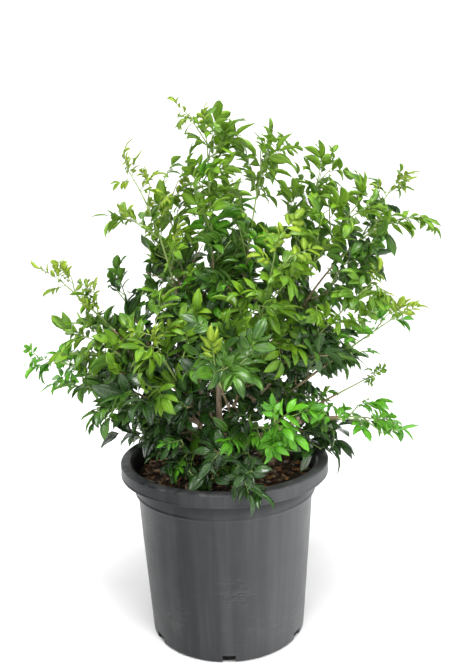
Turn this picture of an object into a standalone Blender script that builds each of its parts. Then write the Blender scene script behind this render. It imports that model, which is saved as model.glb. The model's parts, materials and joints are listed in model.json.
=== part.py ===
"""Orange jasmine shrub in a round nursery pot.

A bushy shrub, about 0.84 m high from the floor to its top shoot, that grows in a black moulded pot of
300 mm size. A short flared trunk stands in the potting mix and forks into slender stems. Each stem is
one tapering bough, and each bough ends where a mass of foliage takes over. A mass is a stem with twigs
that leave it in a golden-angle spiral, and every blade on them stands for one feathered leaf.

Units are metres, +Z is up, and the origin is the centre of the flat underside of the pot.
The side that is seen in a front view faces -Y.
"""

import math
import random
from collections import namedtuple

import bmesh
import bpy
import numpy as np
from mathutils import Matrix, Vector
from mathutils.bvhtree import BVHTree

# Gap between neighbours that rest on each other
CLEARANCE = 0.0003

# Pot
POT_HEIGHT = 0.285
POT_STEPS = 40
WALL = 0.0026
FLOOR_THICKNESS = 0.0032
BASE_RADIUS = 0.1240
BASE_CHAMFER = 0.0030
BODY_TOP_RADIUS = 0.1402
COLLAR_BOTTOM = 0.2350
COLLAR_RADIUS = 0.1440
COLLAR_TOP_RADIUS = 0.1480
LEDGE_HEIGHT = 0.0035
RIM_RADIUS = 0.1650
RIM_HEIGHT = 0.0200
RIM_EDGE = 0.0025
RIM_INNER_RADIUS = 0.1500
RIM_PLATE = 0.0030
DRAIN_COUNT = 6
DRAIN_WIDTH = 0.0200
DRAIN_HEIGHT = 0.0120
DRAIN_DEPTH = 0.0130

# Potting mix
MIX_LEVEL = 0.2570
MIX_CROWN = 0.0060
MIX_SHOULDER = 0.70

# Trunk and boughs
TRUNK_FOOT = Vector((-0.012, 0.0, MIX_LEVEL + MIX_CROWN + CLEARANCE))
TRUNK_FORK = Vector((-0.006, 0.002, 0.336))
TRUNK_RADIUS = 0.0100
TRUNK_TOP_RADIUS = 0.0070
FLARE_RADIUS = 0.0190
FLARE_HEIGHT = 0.018
LIMB_STEP = 0.046
SQUARE_END = 0.003
# How far a bough keeps to the angle of its fork, as a share of the way to its tip
LEAD_SHARE = 0.22
TRUNK_SIDES = 3
BOUGH_SIDES = 1
TWIG_STEM_SIDES = 0
# The flats of a six-sided limb lie nearer its axis than its corners do
FLAT_SIDE_ALLOWANCE = 1.16
LEADER_RADIUS = 0.0050
STEM_RADIUS = 0.0044
BRANCH_RADIUS = 0.0034
BOUGH_TIP_SHARE = 0.62
MASS_TIP_RADIUS = 0.0017

# Foliage
GOLDEN_ANGLE = math.radians(137.5)
TWIG_STEP = 0.027
TWIG_LENGTH = 0.080
TWIG_TIP_SHARE = 0.7
SPREAD = 0.115
BEYOND_TIP = 0.004
LEAF_TRIES = 5
TWIG_ROOT_SHARE = 0.64
TWIG_TIP_RADIUS = 0.0010
ROOT_DEPTH = 0.0004
TIP_ROOT_DEPTH = 0.0016
TWIG_ANGLE = math.radians(55)
TWIG_TIP_ANGLE = math.radians(38)
LEAF_LENGTH = 0.068
LEAF_WIDTH = 0.64
LEAF_THICKNESS = 0.0022
LEAF_WIDEST = 0.42
LEAF_STEP = 0.029
# The leaf at a shoot's tip is a little smaller, and may come this share of a leaf past the tip
TIP_LEAF_SIZE = 0.86
TIP_LEAF_SPARE = 0.06
# A twig bends a little upwards, and bears no side leaf this near to its tip
TWIG_LIFT = 0.15
BARE_TIP = 0.012
# Spread of a leaf's heading, as a standard deviation at the first try
LEAF_WANDER = 0.16
LEAF_SHRINK = 0.08
# Foliage that grows straight from the trunk keeps this share of its stem bare
BARE_ROOT_SHARE = 0.25
LEAF_ANGLE = math.radians(52)
AXIS_STEP = 0.004
SPACE_MARGIN = 0.0022
LIMB_MARGIN = 0.0045
POT_MARGIN = 0.0045

# Windows in the crown, where sky shows from the front. Each is a place across and up on the upright plane
# through the trunk, and its half width and half height there. Before the trunk's fork only the leaves on
# the near side leave room, so that bare stems show.
VIEW_POINT = Vector((0.013, -1.147, 0.693))
Window = namedtuple("Window", "across up half_width half_height")
WINDOWS = (
    Window(0.069, 0.672, 0.027, 0.022),
    Window(0.016, 0.654, 0.009, 0.016),
    Window(-0.022, 0.600, 0.009, 0.012),
    Window(0.064, 0.571, 0.012, 0.014),
    Window(0.107, 0.616, 0.009, 0.008),
    Window(0.155, 0.570, 0.018, 0.017),
    Window(-0.148, 0.634, 0.035, 0.015),
    Window(-0.128, 0.598, 0.019, 0.036),
    Window(-0.106, 0.510, 0.012, 0.009),
    Window(-0.131, 0.697, 0.023, 0.017),
    Window(-0.070, 0.722, 0.013, 0.011),
    Window(-0.252, 0.542, 0.028, 0.014),
    Window(-0.165, 0.339, 0.019, 0.008),
    Window(0.292, 0.587, 0.034, 0.016),
    Window(0.266, 0.468, 0.036, 0.016),
    Window(0.190, 0.517, 0.017, 0.012),
    Window(0.163, 0.407, 0.022, 0.014),
    Window(0.200, 0.388, 0.024, 0.014),
)
FORK_WINDOW = Window(-0.014, 0.360, 0.034, 0.042)

# A shoot runs from its parent to its tip. share says where it leaves the parent's path, and fork at what
# angle to it, in degrees. bearing, reach and height place the tip round the pot's axis, in degrees and
# metres. bend and crest place the point that the shoot bows towards: its share of the way out, and its
# height. bough says how much of the shoot is bare bough before its foliage starts, and 0 grows the
# foliage straight from the trunk. spray is how far the foliage may stand off the shoot near its tip, and
# leaf the size of its leaves. seed varies its twigs and leaves.
Shoot = namedtuple("Shoot", "name parent share fork bearing reach height bend crest bough spray leaf seed")
SHOOTS = (
    Shoot("leader", "trunk", 0.90, 3, 145, 0.018, 0.838, 0.50, 0.640, 0.32, 0.070, 0.85, 401),
    Shoot("upper_right", "leader", 0.22, 40, 14, 0.098, 0.800, 0.42, 0.690, 0.24, 0.075, 0.95, 702),
    Shoot("top_right", "upper_right", 0.18, 40, 20, 0.192, 0.775, 0.75, 0.640, 0.28, 0.060, 0.90, 503),
    Shoot("upper_mid", "leader", 0.28, 42, 150, 0.105, 0.745, 0.75, 0.640, 0.26, 0.060, 1.00, 204),
    Shoot("upper_left", "trunk", 0.74, 38, 189, 0.158, 0.770, 0.30, 0.650, 0.28, 0.030, 0.80, 405),
    Shoot("left_arm", "trunk", 0.45, 42, 184, 0.277, 0.606, 0.62, 0.520, 0.42, 0.030, 0.80, 506),
    Shoot("left_high", "upper_left", 0.22, 34, 168, 0.192, 0.652, 0.30, 0.720, 0.28, 0.028, 0.90, 207),
    Shoot("left_low", "left_arm", 0.18, 36, 172, 0.334, 0.450, 0.62, 0.440, 0.26, 0.028, 0.90, 1008),
    Shoot("left_mid", "left_arm", 0.26, 32, 192, 0.262, 0.508, 0.55, 0.500, 0.24, 0.040, 1.00, 309),
    Shoot("left_spray", "left_arm", 0.36, 30, 184, 0.154, 0.612, 1.10, 0.540, 0.36, 0.024, 0.90, 810),
    Shoot("low_left", "trunk", 0.30, 46, 202, 0.228, 0.378, 0.60, 0.430, 0, 0.045, 1.00, 1211),
    Shoot("low_left_back", "trunk", 0.12, 46, 162, 0.200, 0.296, 0.75, 0.380, 0, 0.050, 1.00, 512),
    Shoot("right_arm", "trunk", 0.70, 40, 10, 0.306, 0.744, 0.66, 0.580, 0.35, 0.030, 0.85, 813),
    Shoot("right_out", "right_arm", 0.30, 30, -6, 0.326, 0.656, 0.50, 0.680, 0.24, 0.026, 0.85, 714),
    Shoot("right_high", "right_arm", 0.20, 36, -10, 0.238, 0.706, 0.60, 0.640, 0.28, 0.060, 0.95, 1115),
    Shoot("right_mid", "trunk", 0.50, 44, -8, 0.312, 0.540, 0.62, 0.460, 0.36, 0.030, 0.90, 516),
    Shoot("right_low", "trunk", 0.21, 48, -20, 0.306, 0.348, 0.60, 0.400, 0.52, 0.028, 0.85, 1317),
    Shoot("right_sparse", "right_low", 0.47, 40, -10, 0.268, 0.442, 0.45, 0.390, 0.30, 0.020, 0.50, 818),
    Shoot("right_droop", "right_low", 0.17, 30, -2, 0.202, 0.288, 0.80, 0.340, 0.34, 0.040, 1.00, 819),
    Shoot("front_right", "trunk", 0.40, 46, -58, 0.200, 0.360, 0.65, 0.390, 0, 0.060, 0.85, 120),
    Shoot("front", "trunk", 0.25, 50, -80, 0.200, 0.276, 0.80, 0.350, 0, 0.050, 0.85, 221),
    Shoot("front_left", "trunk", 0.08, 42, -122, 0.142, 0.290, 0.75, 0.350, 0, 0.060, 0.80, 922),
    Shoot("left_front", "trunk", 0.62, 46, -126, 0.184, 0.560, 0.75, 0.450, 0.28, 0.060, 0.95, 523),
    Shoot("centre_right", "trunk", 0.66, 40, -58, 0.166, 0.676, 0.75, 0.520, 0.28, 0.065, 0.95, 1124),
    Shoot("centre_front", "centre_right", 0.22, 40, -94, 0.200, 0.524, 0.75, 0.450, 0.24, 0.080, 0.95, 425),
    Shoot("right_front", "right_arm", 0.13, 36, -26, 0.262, 0.590, 0.75, 0.540, 0.28, 0.050, 0.95, 826),
    Shoot("back_left", "trunk", 0.62, 46, 117, 0.246, 0.630, 0.75, 0.480, 0.30, 0.060, 1.00, 1227),
    Shoot("back", "leader", 0.14, 42, 82, 0.202, 0.736, 0.75, 0.560, 0.28, 0.060, 1.00, 1228),
    Shoot("back_right", "trunk", 0.57, 46, 50, 0.284, 0.612, 0.75, 0.480, 0.30, 0.060, 1.00, 129),
    Shoot("back_low_left", "back_left", 0.16, 34, 134, 0.305, 0.420, 0.65, 0.420, 0.30, 0.050, 1.00, 130),
    Shoot("back_low_right", "trunk", 0.30, 46, 40, 0.330, 0.420, 0.65, 0.420, 0, 0.050, 1.00, 631),
    Shoot("back_low", "trunk", 0.14, 46, 96, 0.210, 0.350, 0.75, 0.400, 0, 0.060, 1.00, 32),
)


def material(name, colour, roughness, metallic=0.0):
    """A Principled material with one colour and one roughness."""
    new = bpy.data.materials.new(name)
    new.use_nodes = True
    shader = new.node_tree.nodes["Principled BSDF"]
    shader.inputs["Base Color"].default_value = (*colour, 1.0)
    shader.inputs["Roughness"].default_value = roughness
    shader.inputs["Metallic"].default_value = metallic
    return new


def put(name, mesh, look, collection):
    """Links a mesh as a named object with its material."""
    thing = bpy.data.objects.new(name, mesh)
    mesh.materials.clear()
    mesh.materials.append(look)
    collection.objects.link(thing)
    return thing


def evaluated_mesh(thing):
    """A plain mesh of what an object's curve or modifiers make."""
    graph = bpy.context.evaluated_depsgraph_get()
    return bpy.data.meshes.new_from_object(thing.evaluated_get(graph))


def turned(name, profile, look, collection):
    """A closed profile, turned round the Z axis by a Screw modifier."""
    mesh = bpy.data.meshes.new(name)
    points = [(radius, 0.0, height) for radius, height in profile]
    edges = [(i, i + 1) for i in range(len(points) - 1)]
    mesh.from_pydata(points, edges, [])
    thing = put(name, mesh, look, collection)
    screw = thing.modifiers.new("turn", "SCREW")
    screw.axis = "Z"
    screw.steps = POT_STEPS
    screw.render_steps = POT_STEPS
    screw.use_merge_vertices = True
    screw.merge_threshold = 0.00001
    return thing


def wall_radius(height):
    """Outer radius of the pot's body at a height below its collar."""
    share = (height - BASE_CHAMFER) / (COLLAR_BOTTOM - BASE_CHAMFER)
    return BASE_RADIUS + (BODY_TOP_RADIUS - BASE_RADIUS) * share


def pot_profile():
    """Rim, skirt, collar, body, underside and inside of the pot, from the top of the rim down."""
    top = POT_HEIGHT
    skirt_bottom = top - RIM_HEIGHT
    channel_top = top - RIM_PLATE
    skirt_inner = RIM_RADIUS - WALL
    collar_outer = COLLAR_TOP_RADIUS
    outer = [
        (RIM_RADIUS - RIM_EDGE, top),
        (RIM_RADIUS - RIM_EDGE * 0.3, top - RIM_EDGE * 0.3),
        (RIM_RADIUS, top - RIM_EDGE),
        (RIM_RADIUS, skirt_bottom),
        (skirt_inner, skirt_bottom),
        (skirt_inner, channel_top),
        (collar_outer, channel_top),
        (COLLAR_RADIUS, COLLAR_BOTTOM + LEDGE_HEIGHT * 0.5),
        (COLLAR_RADIUS - LEDGE_HEIGHT * 0.3, COLLAR_BOTTOM),
        (BODY_TOP_RADIUS, COLLAR_BOTTOM - LEDGE_HEIGHT * 0.2),
        (BASE_RADIUS, BASE_CHAMFER),
        (BASE_RADIUS - BASE_CHAMFER, 0.0),
        (0.0, 0.0),
    ]
    inner = [
        (0.0, FLOOR_THICKNESS),
        (wall_radius(FLOOR_THICKNESS) - WALL, FLOOR_THICKNESS),
        (BODY_TOP_RADIUS - WALL, COLLAR_BOTTOM),
        (COLLAR_TOP_RADIUS - WALL, top - RIM_EDGE * 1.6),
        (RIM_INNER_RADIUS - RIM_EDGE * 0.5, top - RIM_EDGE * 0.3),
        (RIM_INNER_RADIUS, top),
        (RIM_RADIUS - RIM_EDGE, top),
    ]
    return outer + inner


def make_pot(look, collection, cutters):
    """The moulded pot, with a notch for drainage at six places round its foot."""
    pot = turned("pot", pot_profile(), look, collection)
    for index in range(DRAIN_COUNT):
        bearing = math.tau * index / DRAIN_COUNT - math.pi / 2
        bpy.ops.mesh.primitive_cube_add(size=1)
        notch = bpy.context.active_object
        notch.name = f"drain_{index + 1}"
        notch.scale = (DRAIN_DEPTH * 2, DRAIN_WIDTH, DRAIN_HEIGHT * 2)
        notch.location = (BASE_RADIUS * math.cos(bearing), BASE_RADIUS * math.sin(bearing), 0.0)
        notch.rotation_euler = (0.0, 0.0, bearing)
        hide_cutter(notch, cutters)
    drain = pot.modifiers.new("drains", "BOOLEAN")
    drain.operation = "DIFFERENCE"
    drain.operand_type = "COLLECTION"
    drain.collection = cutters
    drain.solver = "EXACT"
    return pot


def hide_cutter(thing, cutters):
    """Moves a cutter to its collection and keeps it out of the model."""
    for home in list(thing.users_collection):
        home.objects.unlink(thing)
    cutters.objects.link(thing)
    thing.hide_render = True
    thing.display_type = "WIRE"


def make_mix(look, collection):
    """The filling of potting mix, which fits the pot's inside and crowns a little towards the trunk."""
    inside = WALL + CLEARANCE
    shoulder_radius = BODY_TOP_RADIUS * MIX_SHOULDER
    # Above the collar's ledge the inside of the pot widens to the rim
    widening = (MIX_LEVEL - COLLAR_BOTTOM) / (POT_HEIGHT - COLLAR_BOTTOM)
    edge_radius = BODY_TOP_RADIUS + (COLLAR_TOP_RADIUS - BODY_TOP_RADIUS) * widening - inside
    bottom = FLOOR_THICKNESS + CLEARANCE
    foot_radius = 2.5 * FLARE_RADIUS
    profile = [
        (0.0, MIX_LEVEL + MIX_CROWN),
        (foot_radius, MIX_LEVEL + MIX_CROWN),
        (shoulder_radius, MIX_LEVEL + MIX_CROWN * 0.4),
        (edge_radius, MIX_LEVEL),
        (BODY_TOP_RADIUS - inside, COLLAR_BOTTOM),
        (wall_radius(bottom) - inside, bottom),
        (0.0, bottom),
    ]
    return turned("potting_mix", profile, look, collection)


def blend(low, high, share):
    """The value at a share of the way from low to high."""
    return low + (high - low) * share


class Path:
    """A bowed path from a start to an end, read by its share from 0 to 1.

    It is a cubic Bezier curve: it sets out towards lead, and comes in from bend.
    """

    SAMPLES = 60

    def __init__(self, start, lead, bend, end):
        self.start = start
        self.lead = lead
        self.bend = bend
        self.end = end
        points = [self.at(i / self.SAMPLES) for i in range(self.SAMPLES + 1)]
        self.length = sum((b - a).length for a, b in zip(points, points[1:]))

    def at(self, share):
        rest = 1.0 - share
        near = self.start * rest ** 3 + self.lead * 3.0 * rest ** 2 * share
        return near + self.bend * 3.0 * rest * share ** 2 + self.end * share ** 3

    def heading(self, share):
        rest = 1.0 - share
        slope = (self.lead - self.start) * rest ** 2 + (self.bend - self.lead) * 2.0 * rest * share
        return (slope + (self.end - self.bend) * share ** 2).normalized()

    def shares(self, low, high, step):
        """Even shares from low to high, about a step apart."""
        count = max(2, round(self.length * (high - low) / step))
        return [blend(low, high, i / count) for i in range(count + 1)]

    def points(self, shares):
        return [self.at(share) for share in shares]


def shoot_path(shoot, paths):
    """The path of a shoot, from the axis of its parent to its tip."""
    start = paths[shoot.parent].at(shoot.share)
    bearing = math.radians(shoot.bearing)
    tip = Vector((shoot.reach * math.cos(bearing), shoot.reach * math.sin(bearing), shoot.height))
    bend = start.lerp(tip, shoot.bend)
    bend.z = shoot.crest
    along = paths[shoot.parent].heading(shoot.share)
    outward = bend - start
    outward = (outward - along * outward.dot(along)).normalized()
    fork = math.radians(shoot.fork)
    leaving = along * math.cos(fork) + outward * math.sin(fork)
    lead = start + leaving * (tip - start).length * LEAD_SHARE
    return Path(start, lead, bend, tip)


def tube(name, points, radii, sides_level, look, collection):
    """A tapering round solid along points, with flat ends, made from a bevelled curve."""
    curve = bpy.data.curves.new(name, "CURVE")
    curve.dimensions = "3D"
    curve.bevel_depth = 1.0
    curve.bevel_resolution = sides_level
    curve.use_fill_caps = True
    spline = curve.splines.new("POLY")
    spline.points.add(len(points) - 1)
    for knot, point, radius in zip(spline.points, points, radii):
        knot.co = (*point, 1.0)
        knot.radius = radius
    wire = bpy.data.objects.new(name + "_curve", curve)
    collection.objects.link(wire)
    mesh = evaluated_mesh(wire)
    mesh.name = name
    shape = bmesh.new()
    shape.from_mesh(mesh)
    bmesh.ops.remove_doubles(shape, verts=shape.verts, dist=0.000001)
    bmesh.ops.recalc_face_normals(shape, faces=shape.faces)
    shape.to_mesh(mesh)
    shape.free()
    thing = put(name, mesh, look, collection)
    thing.matrix_world = wire.matrix_world.copy()
    bpy.data.objects.remove(wire)
    bpy.data.curves.remove(curve)
    return thing


def keep_main_body(mesh):
    """Drops loose scraps and the skins of sealed hollows, and keeps the one body that is left."""
    shape = bmesh.new()
    shape.from_mesh(mesh)
    unseen = set(shape.faces)
    shells = []
    while unseen:
        shell = [unseen.pop()]
        for face in shell:
            for edge in face.edges:
                for other in edge.link_faces:
                    if other in unseen:
                        unseen.discard(other)
                        shell.append(other)
        shells.append(shell)
    main = max(shells, key=len)
    scraps = [face for shell in shells if shell is not main for face in shell]
    bmesh.ops.delete(shape, geom=scraps, context="FACES")
    shape.to_mesh(mesh)
    shape.free()


def boolean(body, others, operation, solver):
    """Applies one Boolean with a collection of other solids, which are then removed."""
    work = bpy.data.collections.new(body.name + "_work")
    bpy.context.scene.collection.children.link(work)
    for other in others:
        for home in list(other.users_collection):
            home.objects.unlink(other)
        work.objects.link(other)
    step = body.modifiers.new("join", "BOOLEAN")
    step.operation = operation
    step.operand_type = "COLLECTION"
    step.collection = work
    step.solver = solver
    mesh = evaluated_mesh(body)
    body.modifiers.remove(step)
    old = body.data
    body.data = mesh
    bpy.data.meshes.remove(old)
    for other in others:
        spare = other.data
        bpy.data.objects.remove(other)
        bpy.data.meshes.remove(spare)
    bpy.data.collections.remove(work)
    keep_main_body(mesh)


def trunk_rings():
    """Points and radii of the trunk, upright at its flat foot and flared there."""
    rise = Vector((0.0, 0.0, (TRUNK_FORK.z - TRUNK_FOOT.z) / 3))
    path = Path(TRUNK_FOOT, TRUNK_FOOT + rise, TRUNK_FORK - rise, TRUNK_FORK)
    points = [TRUNK_FOOT.copy(), TRUNK_FOOT + Vector((0.0, 0.0, 0.003))]
    radii = [FLARE_RADIUS, FLARE_RADIUS * 0.86]
    for share in (0.14, 0.28, 0.45, 0.65, 0.85, 1.0):
        point = path.at(share)
        flare = max(0.0, 1.0 - (point.z - TRUNK_FOOT.z) / FLARE_HEIGHT)
        trunk_radius = TRUNK_RADIUS + (TRUNK_TOP_RADIUS - TRUNK_RADIUS) * share
        points.append(point)
        radii.append(trunk_radius + (FLARE_RADIUS - TRUNK_RADIUS) * flare * flare)
    return path, points, radii


def root_radius(shoot):
    """Radius of a shoot where it leaves its parent."""
    if shoot.name == "leader":
        return LEADER_RADIUS
    if shoot.parent == "trunk":
        return STEM_RADIUS
    return BRANCH_RADIUS


def bough_rings(shoot, path, step):
    """Points and radii of a bough, from its parent's axis to the end where its foliage takes over."""
    square = SQUARE_END / path.length
    shares = path.shares(0.0, shoot.bough - square, step) + [shoot.bough]
    root = root_radius(shoot)
    radii = [blend(root, root * BOUGH_TIP_SHARE, share / shoot.bough) for share in shares]
    return path.points(shares), radii


def swollen(points, radii, sides_level, look, collection):
    """The space that a limb takes up with the clearance all round it."""
    lead = (points[-1] - points[-2]).normalized() * CLEARANCE
    longer = points[:-1] + [points[-1] + lead]
    wider = [radius + CLEARANCE * FLAT_SIDE_ALLOWANCE for radius in radii]
    return tube("space", longer, wider, sides_level, look, collection)


class Spaces:
    """Knows which mass a point belongs to, and how near it is to a limb, the pot or the mix."""

    def __init__(self, masses, sprays, limbs):
        self.names = list(masses)
        self.sprays = sprays
        self.axes = [np.array([tuple(p) for p in masses[name]]) for name in self.names]
        self.limb_points = np.array([tuple(p) for points, radii in limbs for p in points])
        self.limb_radii = np.array([r for points, radii in limbs for r in radii])

    def owns(self, name, points):
        """True where points lie nearer to this mass's stem than to any other, and within its spread."""
        spots = np.array([tuple(p) for p in points])
        gaps = [np.linalg.norm(spots[:, None] - axis[None], axis=2) for axis in self.axes]
        own = gaps[self.names.index(name)]
        axis = self.axes[self.names.index(name)]
        tip_way = (axis[-1] - axis[-3]) / np.linalg.norm(axis[-1] - axis[-3])
        if ((spots - axis[-1]) @ tip_way).max() > BEYOND_TIP:
            return False
        place = own.argmin(axis=1) / (own.shape[1] - 1)
        own = own.min(axis=1)
        rest = np.min([gap.min(axis=1) for other, gap in zip(self.names, gaps) if other != name], axis=0)
        spread = blend(SPREAD, self.sprays[name], place)
        return bool(np.all(own + SPACE_MARGIN < rest) and np.all(own < spread))

    def clear_of_limbs(self, points, margin):
        spots = np.array([tuple(p) for p in points])
        gaps = np.linalg.norm(spots[:, None] - self.limb_points[None], axis=2) - self.limb_radii[None]
        return bool(gaps.min() > margin)

    def clear_of_windows(self, points):
        """True where no point stands in the line of sight through a window."""
        for point in points:
            sight = point - VIEW_POINT
            seen = VIEW_POINT - sight * (VIEW_POINT.y / sight.y)
            for window in WINDOWS + (FORK_WINDOW,) * (point.y < 0.0):
                across = (seen.x - window.across) / window.half_width
                up = (seen.z - window.up) / window.half_height
                if across * across + up * up < 1.0:
                    return False
        return True

    def clear_of_pot(self, points):
        for point in points:
            radius = math.hypot(point.x, point.y)
            over_rim = point.z > POT_HEIGHT + POT_MARGIN
            beside = radius > RIM_RADIUS + POT_MARGIN
            surface = MIX_LEVEL + MIX_CROWN + POT_MARGIN
            inside = radius < BODY_TOP_RADIUS - WALL - POT_MARGIN and point.z > surface
            if not (over_rim or beside or inside):
                return False
        return True


def leaf_frame(root, heading, normal):
    """The matrix that lays a leaf along its heading with its upper side along the normal."""
    along = heading.normalized()
    across = normal.cross(along).normalized()
    upper = along.cross(across)
    return Matrix.Translation(root) @ Matrix((across, upper, along)).transposed().to_4x4()


def leaf_spots(frame, length):
    """Points spread over a leaf's blade, about 9 mm apart."""
    spots = []
    steps = 8
    for i in range(1, steps + 1):
        share = i / steps
        half = min(share / LEAF_WIDEST, (1.0 - share) / (1.0 - LEAF_WIDEST)) * length * LEAF_WIDTH / 2
        for side in (-1.0, 0.0, 1.0):
            spots.append(frame @ Vector((half * side, 0.0, share * length)))
    return spots


def leaf_shape(frame, length):
    """One leaf: an eight-faced blade, pointed at both ends and thickest along its rib."""
    shape = bmesh.new()
    bmesh.ops.create_uvsphere(shape, u_segments=4, v_segments=2, radius=1.0)
    for corner in shape.verts:
        end = corner.co.z
        if abs(end) < 0.5:
            place = LEAF_WIDEST
        else:
            place = 0.5 + 0.5 * end
        across = corner.co.x * length * LEAF_WIDTH / 2
        corner.co = frame @ Vector((across, corner.co.y * LEAF_THICKNESS / 2, place * length))
    bmesh.ops.recalc_face_normals(shape, faces=shape.faces)
    return shape


def twig_shape(root, tip, radius):
    """One straight three-sided twig that tapers to its tip."""
    shape = bmesh.new()
    span = tip - root
    turn = span.to_track_quat("Z", "Y").to_matrix().to_4x4()
    place = Matrix.Translation((root + tip) / 2) @ turn
    bmesh.ops.create_cone(shape, cap_ends=True, segments=3, radius1=radius, radius2=TWIG_TIP_RADIUS,
                          depth=span.length, matrix=place)
    return shape


def solid(name, shape, look, collection):
    """Links a shape as an object."""
    mesh = bpy.data.meshes.new(name)
    shape.to_mesh(mesh)
    return put(name, mesh, look, collection)


class Growth:
    """Twigs and leaves of one mass, grown by a seeded rule along the mass's stem."""

    def __init__(self, name, leaf, path, start, stem_radius, spaces, seed):
        self.name = name
        self.leaf = LEAF_LENGTH * leaf
        self.tip_twig = spaces.sprays[name] * TWIG_TIP_SHARE
        self.path = path
        self.start = max(start, BARE_ROOT_SHARE)
        self.spaces = spaces
        self.stem_start = start
        self.stem_radius = stem_radius
        self.end = 1.0 - self.leaf * (TIP_LEAF_SIZE - TIP_LEAF_SPARE) / path.length
        self.dice = random.Random(seed)
        self.twigs = []
        self.leaves = []

    def radius_at(self, share):
        """Radius of the mass's stem at a share of the path."""
        place = (share - self.stem_start) / (self.end - self.stem_start)
        return blend(self.stem_radius, MASS_TIP_RADIUS, place)

    def crosses(self, tree, holder):
        """True where a shape would cut through a leaf or twig that has grown already."""
        return any(other is not holder and tree.overlap(other) for shape, other in self.twigs + self.leaves)

    def fits(self, points, margin):
        return (self.spaces.owns(self.name, points)
                and self.spaces.clear_of_limbs(points, margin)
                and self.spaces.clear_of_pot(points)
                and self.spaces.clear_of_windows(points))

    def add_leaf(self, root, heading, length, holder=None):
        """Adds a leaf that arches a little and shows its upper side to the sky and outwards."""
        upright = Vector((0.0, 0.0, 0.7))
        outward = Vector((root.x, root.y, 0.0)).normalized()
        for attempt in range(LEAF_TRIES):
            wander = Vector([self.dice.gauss(0.0, LEAF_WANDER * (1 + attempt)) for axis in range(3)])
            way = (heading + wander).normalized()
            lean = self.dice.uniform(-0.5, 0.5)
            normal = upright + way.cross(upright) * lean + outward
            if abs(normal.normalized().dot(way)) > 0.94:
                normal = way.orthogonal()
            size = length * (1.0 - LEAF_SHRINK * attempt)
            frame = leaf_frame(root, way, normal.normalized())
            if not self.fits(leaf_spots(frame, size)[3:], LIMB_MARGIN):
                continue
            shape = leaf_shape(frame, size)
            tree = BVHTree.FromBMesh(shape)
            if not self.crosses(tree, holder):
                self.leaves.append((shape, tree))
                return True
        return False

    def add_twig(self, root, heading, length, radius):
        """Adds a twig at its full length, or shorter where that leaves the mass's space."""
        for size in (1.0, 0.75, 0.5, 0.3):
            tip = root + heading * length * size
            steps = 12
            spots = [root.lerp(tip, i / steps) for i in range(2, steps + 1)]
            if not self.fits(spots, LIMB_MARGIN):
                continue
            shape = twig_shape(root, tip, radius)
            tree = BVHTree.FromBMesh(shape)
            if any(tree.overlap(leaf) for shape_of_leaf, leaf in self.leaves):
                continue
            before = len(self.leaves)
            self.dress(root, tip, tree)
            if len(self.leaves) > before:
                self.twigs.append((shape, tree))
                return True
        return False

    def grow(self):
        """A leaf at the tip, and twigs up the stem in a golden-angle spiral, ever shorter and steeper."""
        stem_length = self.path.length * (1.0 - self.start)
        count = max(2, round(stem_length / TWIG_STEP))
        turn = self.dice.uniform(0.0, math.tau)
        tip_root = self.path.at(self.end)
        tip_heading = (self.path.end - tip_root).normalized()
        self.add_leaf(tip_root - tip_heading * TIP_ROOT_DEPTH, tip_heading, self.leaf * TIP_LEAF_SIZE)
        for i in range(count):
            along = (i + 0.5) / count
            share = blend(self.start, self.end, along)
            axis = self.path.heading(share)
            root = self.path.at(share)
            angle = blend(TWIG_ANGLE, TWIG_TIP_ANGLE, along)
            length = blend(TWIG_LENGTH, self.tip_twig, along) * self.dice.uniform(0.85, 1.15)
            turn += GOLDEN_ANGLE
            for nudge in (0.0, 0.7, -0.7, 1.4, -1.4):
                side = axis.orthogonal().normalized()
                side.rotate(Matrix.Rotation(turn + nudge, 3, axis))
                heading = axis * math.cos(angle) + side * math.sin(angle)
                heading = (heading + Vector((0.0, 0.0, TWIG_LIFT))).normalized()
                if length > self.leaf / 2:
                    grown = self.add_twig(root, heading, length, self.radius_at(share) * TWIG_ROOT_SHARE)
                else:
                    grown = self.add_leaf(root, heading, self.leaf * TIP_LEAF_SIZE)
                if grown:
                    break

    def dress(self, root, tip, holder):
        """Leaves to the left and right of a twig, and one at its tip."""
        span = tip - root
        heading = span.normalized()
        upward = Vector((0.0, 0.0, 1.0)) - heading * heading.z
        if upward.length < 0.2:
            upward = heading.orthogonal()
        across = heading.cross(upward.normalized())
        hand = self.dice.choice((-1.0, 1.0))
        place = LEAF_STEP
        while place < span.length - BARE_TIP:
            out = heading * math.cos(LEAF_ANGLE) + across * hand * math.sin(LEAF_ANGLE)
            spot = root + heading * place
            size = self.leaf * self.dice.uniform(0.85, 1.05)
            self.add_leaf(spot - out * ROOT_DEPTH, out, size, holder)
            hand = -hand
            place += LEAF_STEP
        size = self.leaf * self.dice.uniform(0.9, 1.05)
        self.add_leaf(tip - heading * TIP_ROOT_DEPTH, heading, size, holder)


def make_mass(name, growth, trunk_space, look, collection):
    """Joins the stem, twigs and leaves of one mass into one solid."""
    growth.grow()
    path = growth.path
    start = growth.stem_start
    shares = [start] + path.shares(start + SQUARE_END / path.length, growth.end, LIMB_STEP)
    radii = [growth.radius_at(share) for share in shares]
    stem = tube(name, path.points(shares), radii, TWIG_STEM_SIDES, look, collection)
    if trunk_space is not None:
        boolean(stem, [trunk_space], "DIFFERENCE", "EXACT")
    pieces = [solid("twig", shape, look, collection) for shape, tree in growth.twigs]
    pieces += [solid("leaf", shape, look, collection) for shape, tree in growth.leaves]
    boolean(stem, pieces, "UNION", "EXACT")
    for shape, tree in growth.twigs + growth.leaves:
        shape.free()


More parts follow.
